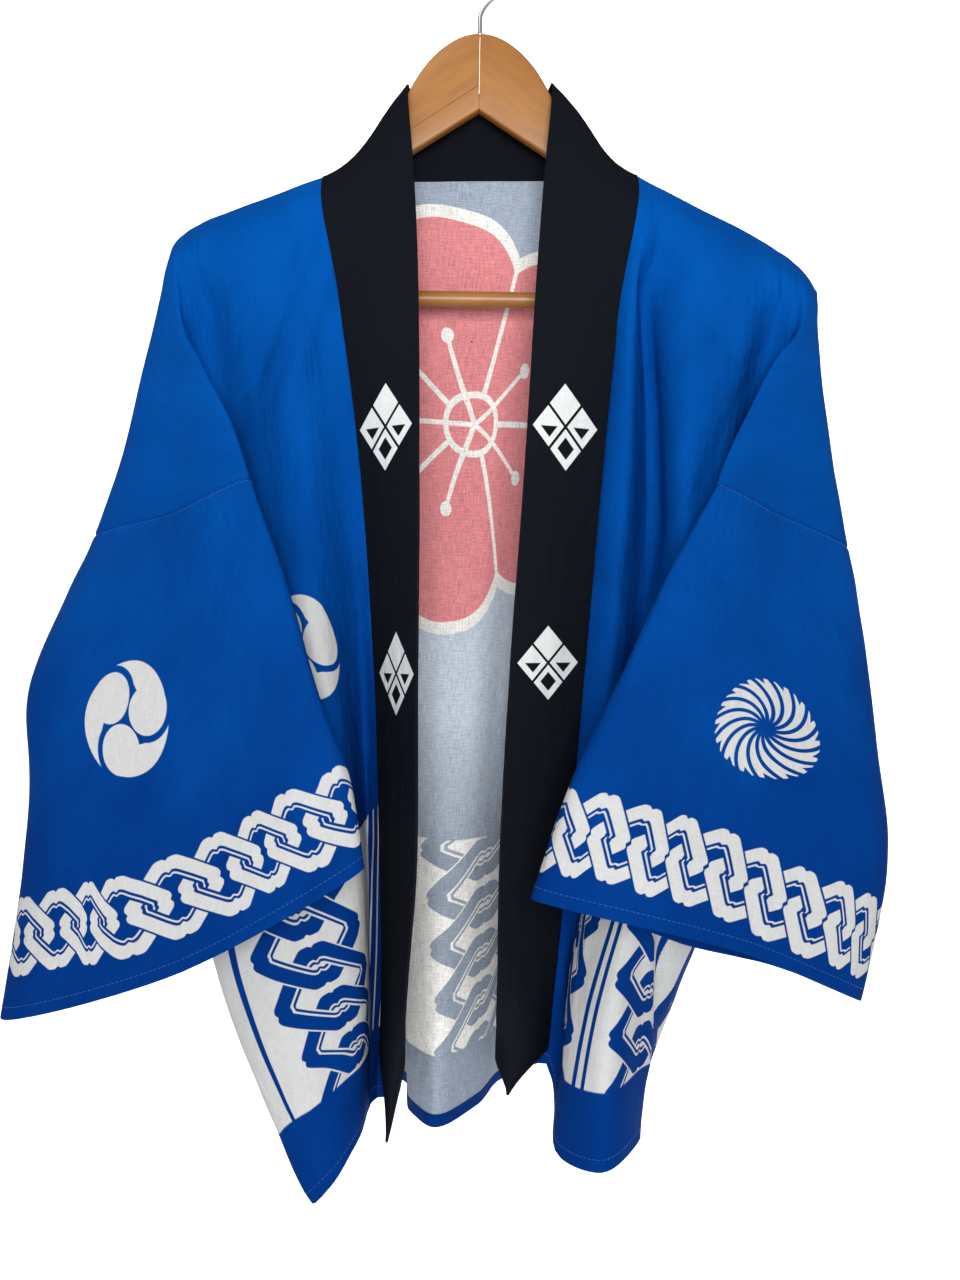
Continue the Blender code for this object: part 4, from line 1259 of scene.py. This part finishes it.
def cottonMaterial(name, face):
    made, tree, shader = newMaterial(f"{name} {face}")
    colours = dyes["band" if name == "collar" else face]
    feel = cotton[face]
    u, v, _ = split(tree, addNode(tree, "ShaderNodeUVMap", {"uv_map": "cloth"}))
    u, v = u * 1000.0, v * 1000.0  # millimetres

    def spread(across, up, detail):
        return noise(tree, joined(tree, u * across, v * up), 1.0, detail)

    thin, long = 1 / cotton["thread"], 1 / cotton["streak"]
    threads = spread(thin, long, 1.0) + spread(long, thin, 1.0) - 1.0
    washed = spread(cotton["patch"], cotton["patch"], 3.0) - 0.5
    height = split(tree, objectPlace(tree))[2] * 1000
    # Paler upwards: painted light, a painted sheen on the outside and painted light over painted
    # shade on the inside.
    paintedLightShare = (height - cotton["paintedLightLow"]) * (1 / feel["paintedLightSpan"])
    paintedLightShare = paintedLightShare.math("ADD", 0.0, clamp=True) + washed * cotton["patchFade"]
    base = mixed(tree, paintedLightShare, colours["ground"], colours.get("paintedLightTone", colours["ground"]))
    # The inside's top darkens with painted shade under the hanger and the collar.
    if face == "inside":
        paintedLightShare = (height - cotton["topShadeLow"]) * (1 / cotton["topShadeSpan"])
        base = mixed(tree, paintedLightShare.math("ADD", 0.0, clamp=True), base, colours["top"])
    for mask, dye in painters[name](tree, u, v, name):
        base = mixed(tree, mask, base, colours[dye])
    tone = threads * feel["threads"] + washed * feel["washed"] + 1.0
    if feel["specks"]:
        tone = tone + (spread(cotton["speck"], cotton["speck"], 2.0) - 0.5) * feel["specks"]
    base = mixed(tree, 1.0, base, joined(tree, tone, tone, tone), "MULTIPLY")
    creases = spread(*cotton["crease"], 3.0) * cotton["creaseTall"]
    fine = bumped(tree, threads, cotton["bump"], cotton["bumpDeep"])
    coarse = bumped(tree, creases, cotton["creaseBump"], cotton["creaseDeep"], Normal=fine)
    plug(tree, shader, Base_Color=base, Roughness=threads * cotton["threadRough"]
         + cotton["rough"], Normal=coarse, Specular_IOR_Level=cotton["gloss"])
    return made


def hemSlab(name):
    # The hem is turned up once, its dyed face out.
    rise = maps[name][0][:, :, 1]
    rows = int(np.ceil(cloth["hem"] / np.mean(rise[-3:-1] - rise[-2:])))
    skin, uv = faceOf(name, 0, slice(-rows - 1, None))
    return slab(skin, spots, normals, uv, cloth["hemWall"], -cloth["hemLift"])


def makeCloth(name):
    skins = [faceOf(name, n) for n in range(len(nets[name]))]
    skin, uv = [np.concatenate(parts) for parts in zip(*skins)]
    if name == "collar":
        materials = [cottonMaterial(name, "outside")]
        slabs = [(slab(skin, spots, normals, uv, cloth["band"]), (0, 0, 0))]
    else:
        materials = [cottonMaterial(name, face) for face in ("outside", "inside")]
        slabs = [(slab(skin, spots, normals, uv, cloth["wall"]), (0, 1, 0)),
                 (hemSlab(name), (0, 0, 0))]
    return place("coat_" + name, clothMesh(name, slabs), materials)


pieces = {}
for name in nets:
    pieces[name] = makeCloth(name)
    print("made", name, len(pieces[name].data.polygons), "faces")


# Stitches, laid along lines of the cloth by a node tree

thread = {"pitch": 3.4, "stitch": 2.6, "thick": 0.32, "hem": 7.5, "seam": 3.0, "lift": 0.12,
          "sides": 6, "rings": 4, "dark": (0.0, 0.05, 0.24), "pale": (0.03, 0.16, 0.52),
          "fuzz": 2600.0, "rough": 0.7, "fuzzRough": 0.1, "sheen": 0.2}


def levelLine(name, level, fromTop=False):
    # The line that lies so far above the hem, or below the net's first row.
    net, facing = spots[ids[name][0]], normals[ids[name][0]]
    if not fromTop:
        net, facing = net[::-1], facing[::-1]
    run = arcs(net, 0)
    line = []
    for c in range(net.shape[1]):
        at = [np.interp(level, run[:, c], net[:, c, axis]) for axis in range(3)]
        out = [np.interp(level, run[:, c], facing[:, c, axis]) for axis in range(3)]
        line.append(points(at) + points(out) * (cloth["wall"] / 2 + thread["lift"]))
    return line


def stitchTree(made):
    tree = bpy.data.node_groups.new("running stitches", "GeometryNodeTree")
    tree.is_modifier = True
    tree.interface.new_socket("Geometry", in_out="OUTPUT", socket_type="NodeSocketGeometry")
    tree.interface.new_socket("Geometry", in_out="INPUT", socket_type="NodeSocketGeometry")
    for size in ("Pitch", "Stitch", "Thickness"):
        tree.interface.new_socket(size, in_out="INPUT", socket_type="NodeSocketFloat")
    start = tree.nodes.new("NodeGroupInput")
    lines, pitch, stitch, thick = [Wire(tree, socket) for socket in start.outputs[:4]]
    curve = addNode(tree, "GeometryNodeMeshToCurve", inputs={"Mesh": lines})
    marks = addNode(tree, "GeometryNodeResampleCurve", {"mode": "LENGTH"},
                    {"Curve": curve, "Length": pitch})
    way = addNode(tree, "GeometryNodeInputTangent")
    turnTo = addNode(tree, "FunctionNodeAlignRotationToVector", {"axis": "Z"},
                     {"Vector": way})
    ball = addNode(tree, "GeometryNodeMeshUVSphere",
                   inputs={"Segments": thread["sides"], "Rings": thread["rings"],
                           "Radius": 0.5})
    size = joined(tree, thick, thick, stitch)
    sewn = addNode(tree, "GeometryNodeInstanceOnPoints",
                   inputs={"Points": marks, "Instance": ball, "Rotation": turnTo,
                           "Scale": size})
    solid = addNode(tree, "GeometryNodeRealizeInstances", inputs={"Geometry": sewn})
    done = addNode(tree, "GeometryNodeSetMaterial", inputs={"Geometry": solid})
    tree.nodes[-1].inputs["Material"].default_value = made
    end = tree.nodes.new("NodeGroupOutput")
    tree.links.new(done.socket, end.inputs[0])
    return tree


def makeStitches(name, lines, made):
    spotsOfLines, edges = [], []
    for line in lines:
        start = len(spotsOfLines)
        spotsOfLines += [tuple(p * mm) for p in line]
        edges += [(start + n, start + n + 1) for n in range(len(line) - 1)]
    mesh = bpy.data.meshes.new(name)
    mesh.from_pydata(spotsOfLines, edges, [])
    thing = place(name, mesh, [made])
    modifier = thing.modifiers.new("stitches", "NODES")
    modifier.node_group = stitchTree(made)
    sizes = {"Pitch": thread["pitch"], "Stitch": thread["stitch"],
             "Thickness": thread["thick"]}
    for item in modifier.node_group.interface.items_tree:
        if item.name in sizes:
            modifier[item.identifier] = sizes[item.name] * mm
    return plain(thing)


def threadMaterial():
    made, tree, shader = newMaterial("blue thread")
    fuzz = noise(tree, objectPlace(tree), thread["fuzz"])
    plug(tree, shader, Base_Color=mixed(tree, fuzz, thread["dark"], thread["pale"]),
         Roughness=fuzz * thread["fuzzRough"] + thread["rough"], Sheen_Weight=thread["sheen"])
    return made


blueThread = threadMaterial()
sewn = {
    "hem_stitches": [levelLine(name, thread["hem"])
                     for name in ("front_right", "front_left", "back")],
    "sleeve_stitches": [levelLine(name, level, fromTop)
                        for name in ("sleeve_right", "sleeve_left")
                        for level, fromTop in ((thread["hem"], False), (thread["seam"], True))],
}
for name, lines in sewn.items():
    pieces[name] = makeStitches(name, lines, blueThread)
    print("sewed", name, len(pieces[name].data.polygons), "faces")


# The hanger

# The arms' outline is that of the left half: its top, its end and its low edge. The bar ends
# "barShort" before its own place on the arms, and the groove is cut "past" its two ends.
timber = {"thick": 11.0, "edge": 1.8, "edgeSteps": 3, "joint": 0.12, "jointWide": 1.5,
          "tilt": 0.8, "steps": 60, "sharp": 35, "grainLean": 34,
          "top": [(0, -62), (12, -64.5), (25, -72), (38, -85), (50, -104.5), (60, -124),
                  (70, -143), (80, -158), (92, -170), (106, -177), (128, -184),
                  (155, -190.5), (176, -198), (188, -205), (194, -214)],
          "end": [(194, -214), (196, -230), (194, -249), (186, -257), (177, -257)],
          "low": [(177, -238), (168, -233), (148, -221), (118, -206), (88, -187),
                  (66, -166), (49, -147.5), (0, -116)],
          "barAt": (177, -247.5), "barShort": 1.8, "bar": 11.0, "barSteps": 12, "barSides": 32,
          "groove": ((-47, -129), (0, -98.5)), "grooveWide": 0.9, "grooveDeep": 0.8,
          "past": 8}
wire = {"thick": 3.6, "bend": 20.0, "from": -48, "sweep": 240, "steps": 60, "sides": 20,
        "foot": [(0, 0, -61.4), (0, 0, -53), (1, 0, -46), (6, 0, -39)], "footSteps": 24,
        "dome": (30, 55, 75, 87), "domeTall": 0.8}


def tilted(x, z):
    lean = math.radians(timber["tilt"])
    top = timber["top"][0][1]
    return (x * math.cos(lean) + (z - top) * math.sin(lean),
            top - x * math.sin(lean) + (z - top) * math.cos(lean))


def outward(mesh):
    bm = bmesh.new()
    bm.from_mesh(mesh)
    bmesh.ops.recalc_face_normals(bm, faces=bm.faces)
    bm.to_mesh(mesh)
    bm.free()


def smoothLine(line, steps):
    line = points(line)
    knots = np.concatenate([[0], np.cumsum(np.linalg.norm(np.diff(line, axis=0), axis=1))])
    return smooth(knots, line, np.linspace(0, knots[-1], steps + 1))


def hangerHalf(name, side, made):
    outline = np.vstack([smoothLine(timber["top"], timber["steps"])[:-1],
                         smoothLine(timber["end"], timber["steps"] // 3),
                         smoothLine(timber["low"][:-1], timber["steps"] // 2),
                         timber["low"][-1:]])
    bm = bmesh.new()
    ring = []
    for x, z in outline:
        x, z = tilted(max(x, timber["joint"]) * side, z)
        ring.append(bm.verts.new((x * mm, -timber["thick"] / 2 * mm, z * mm)))
    face = bm.faces.new(ring)
    grown = bmesh.ops.extrude_face_region(bm, geom=[face])["geom"]
    moved = [v for v in grown if isinstance(v, bmesh.types.BMVert)]
    bmesh.ops.translate(bm, vec=(0, timber["thick"] * mm, 0), verts=moved)
    edges = [e for e in bm.edges if abs(e.verts[0].co.y - e.verts[1].co.y) < 1e-6
             and max(abs(v.co.x) for v in e.verts) > timber["jointWide"] * mm]
    bmesh.ops.bevel(bm, geom=edges, offset=timber["edge"] * mm, profile=0.5,
                    segments=timber["edgeSteps"], affect="EDGES", clamp_overlap=True)
    mesh = bpy.data.meshes.new(name)
    bm.to_mesh(mesh)
    bm.free()
    outward(mesh)
    mesh.shade_smooth()
    mesh.set_sharp_from_angle(angle=math.radians(timber["sharp"]))
    thing = place(name, mesh, [made])
    if side < 0:
        cutGroove(thing)
    return thing


def cutGroove(thing):
    (x0, z0), (x1, z1) = timber["groove"]
    way = np.array((x1 - x0, z1 - z0))
    way = way / np.linalg.norm(way)
    out = np.array((-way[1], way[0])) * timber["grooveWide"] / 2
    front = -timber["thick"] / 2
    corners = []
    for y in (front - 1, front + timber["grooveDeep"]):
        for end in ((x0, z0) - way * timber["past"], (x1, z1) + way * timber["past"]):
            for side in (-1, 1):
                x, z = end + out * side
                corners.append((x * mm, y * mm, z * mm))
    mesh = bpy.data.meshes.new("groove")
    mesh.from_pydata(corners, [], [(0, 1, 3, 2), (4, 6, 7, 5), (0, 4, 5, 1), (2, 3, 7, 6),
                                   (0, 2, 6, 4), (1, 5, 7, 3)])
    outward(mesh)
    cutter = place("groove", mesh, [])
    cut = thing.modifiers.new("groove", "BOOLEAN")
    cut.object = cutter
    cut.operation = "DIFFERENCE"
    plain(thing)
    bpy.data.objects.remove(cutter)


def tube(name, path, radius, sides, made, domed=True):
    # A round bar along a line in the plane of the hanger, with flat or domed ends.
    path = points(path)
    ways = np.gradient(path, axis=0)
    ways /= np.linalg.norm(ways, axis=1)[:, None]
    stations = [(p, w, radius) for p, w in zip(path, ways)]
    if domed:
        for end, sign in ((0, -1), (-1, 1)):
            cap = []
            for angle in wire["dome"]:
                lean = math.radians(angle)
                rise = radius * wire["domeTall"] * math.sin(lean)
                cap.append((path[end] + sign * ways[end] * rise, ways[end],
                            radius * math.cos(lean)))
            stations = cap[::-1] + stations if end == 0 else stations + cap
    spotsOfTube, faces = [], []
    across = np.array((0.0, 1.0, 0.0))
    for p, w, r in stations:
        other = np.cross(w, across)
        for s in range(sides):
            a = 2 * math.pi * s / sides
            spotsOfTube.append((p + (across * math.cos(a) + other * math.sin(a)) * r) * mm)
    rings = len(stations)
    for k in range(rings - 1):
        for s in range(sides):
            a, b = k * sides + s, k * sides + (s + 1) % sides
            faces.append((a, b, b + sides, a + sides))
    faces.append(tuple(range(sides))[::-1])
    faces.append(tuple((rings - 1) * sides + s for s in range(sides)))
    mesh = bpy.data.meshes.new(name)
    mesh.from_pydata([tuple(p) for p in spotsOfTube], [], faces)
    outward(mesh)
    mesh.shade_smooth()
    return place(name, mesh, [made])


def hookPath():
    centre = -(wire["bend"] - wire["thick"] / 2)
    bend = []
    for n in range(wire["steps"] + 1):
        angle = math.radians(wire["from"] + wire["sweep"] * n / wire["steps"])
        bend.append((wire["bend"] * math.cos(angle), 0,
                     centre + wire["bend"] * math.sin(angle)))
    foot = points(wire["foot"] + bend[:1])
    knots = np.arange(len(foot))
    shank = smooth(knots, foot, np.linspace(0, knots[-1], wire["footSteps"] + 1))
    return np.vstack([shank[:-1], bend])


# The grain is noise stretched along the wood: each has its fineness along and across.
grain = {
    "pale": (0.38, 0.155, 0.024), "dark": (0.24, 0.08, 0.01), "pore": (0.3, 0.12, 0.035),
    "lines": (30.0, 120.0), "broad": (7.0, 40.0), "pores": (110.0, 1500.0),
    "middle": 0.35, "contrast": 1.1, "rings": 22.0, "ringShare": 0.3, "poreEdge": 0.36,
    "poreShare": 0.22, "bump": 0.08, "bumpDeep": 0.0005, "poreBump": 0.4, "rough": 0.36,
    "lineRough": 0.16, "coat": 0.25, "coatRough": 0.25,
}
steel = {"dark": (0.62, 0.62, 0.64), "pale": (0.78, 0.78, 0.79), "brushed": 900.0,
         "rough": 0.14, "brushedRough": 0.12}


def woodMaterial(name, lean):
    # The grain runs along a piece that leans by so many degrees.
    made, tree, shader = newMaterial(name)
    turnedTo = addNode(tree, "ShaderNodeMapping",
                       inputs={"Vector": objectPlace(tree),
                               "Rotation": (0, math.radians(lean), 0)})
    x, y, z = split(tree, turnedTo)

    def stretched(kind, scale=1.0, detail=2.0, rough=0.5):
        along, across = grain[kind]
        where = joined(tree, x * along, y * across, z * across)
        return noise(tree, where, scale, detail, rough)

    lines = stretched("lines", 1.4, 4.0, 0.62)
    pores = stretched("pores")
    rings = (stretched("broad") * grain["rings"]).math("SINE") * 0.5 + 0.5
    share = (lines - grain["middle"]) * grain["contrast"] + rings * grain["ringShare"]
    base = mixed(tree, share, grain["pale"], grain["dark"])
    pore = pores.below(grain["poreEdge"], 0.08) * grain["poreShare"]
    base = mixed(tree, pore, base, grain["pore"])
    height = lines + pores * grain["poreBump"]
    plug(tree, shader, Base_Color=base, Roughness=lines * grain["lineRough"] + grain["rough"],
         Normal=bumped(tree, height, grain["bump"], grain["bumpDeep"]),
         Coat_Weight=grain["coat"], Coat_Roughness=grain["coatRough"])
    return made


def steelMaterial():
    made, tree, shader = newMaterial("bright steel")
    brushed = noise(tree, objectPlace(tree), steel["brushed"], 3.0)
    plug(tree, shader, Base_Color=mixed(tree, brushed, steel["dark"], steel["pale"]),
         Metallic=1.0, Roughness=brushed * steel["brushedRough"] + steel["rough"])
    return made


def makeHanger():
    for side, label in ((-1, "right"), (1, "left")):
        wood = woodMaterial(f"varnished wood, {label} half", -side * timber["grainLean"])
        name = "hanger_half_" + label
        pieces[name] = hangerHalf(name, side, wood)
    x, z = timber["barAt"]
    ends = [tilted(side * (x - timber["barShort"]), z) for side in (-1, 1)]
    path = np.linspace(*[(a, 0, b) for a, b in ends], timber["barSteps"])
    wood = woodMaterial("varnished wood, bar", 1)
    pieces["hanger_bar"] = tube("hanger_bar", path, timber["bar"] / 2, timber["barSides"],
                                wood, domed=False)
    pieces["hanger_hook"] = tube("hanger_hook", hookPath(), wire["thick"] / 2, wire["sides"],
                                 steelMaterial())


makeHanger()
print("the hanger is made")


# What each piece stands for: the parts of model.glb that it replaces, each listed with a finish

stands = {
    "front_right": (("front_right_upper", "front_right_lower"), "blue_cotton"),
    "front_left": (("front_left_upper", "front_left_lower"), "blue_cotton"),
    "back": (("back_right_upper", "back_right_lower", "back_left_upper",
              "back_left_lower"), "blue_cotton"),
    "sleeve_right": (("sleeve_right_front", "sleeve_right_back"), "blue_cotton"),
    "sleeve_left": (("sleeve_left_front", "sleeve_left_back"), "blue_cotton"),
    "collar": (("collar",), "black_cotton"),
    "hanger_half_right": (("hanger_arm_right",), "varnished_wood"),
    "hanger_half_left": (("hanger_arm_left",), "varnished_wood"),
    "hanger_bar": (("trouser_bar",), "varnished_wood"),
    "hanger_hook": (("hook",), "bright_steel"),
    "hem_stitches": ((), "blue_cotton"), "sleeve_stitches": ((), "blue_cotton"),
}
for name, (nodes, finish) in stands.items():
    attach(pieces[name], "root")
    if nodes:
        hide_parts(*nodes)

print("all pieces are placed")
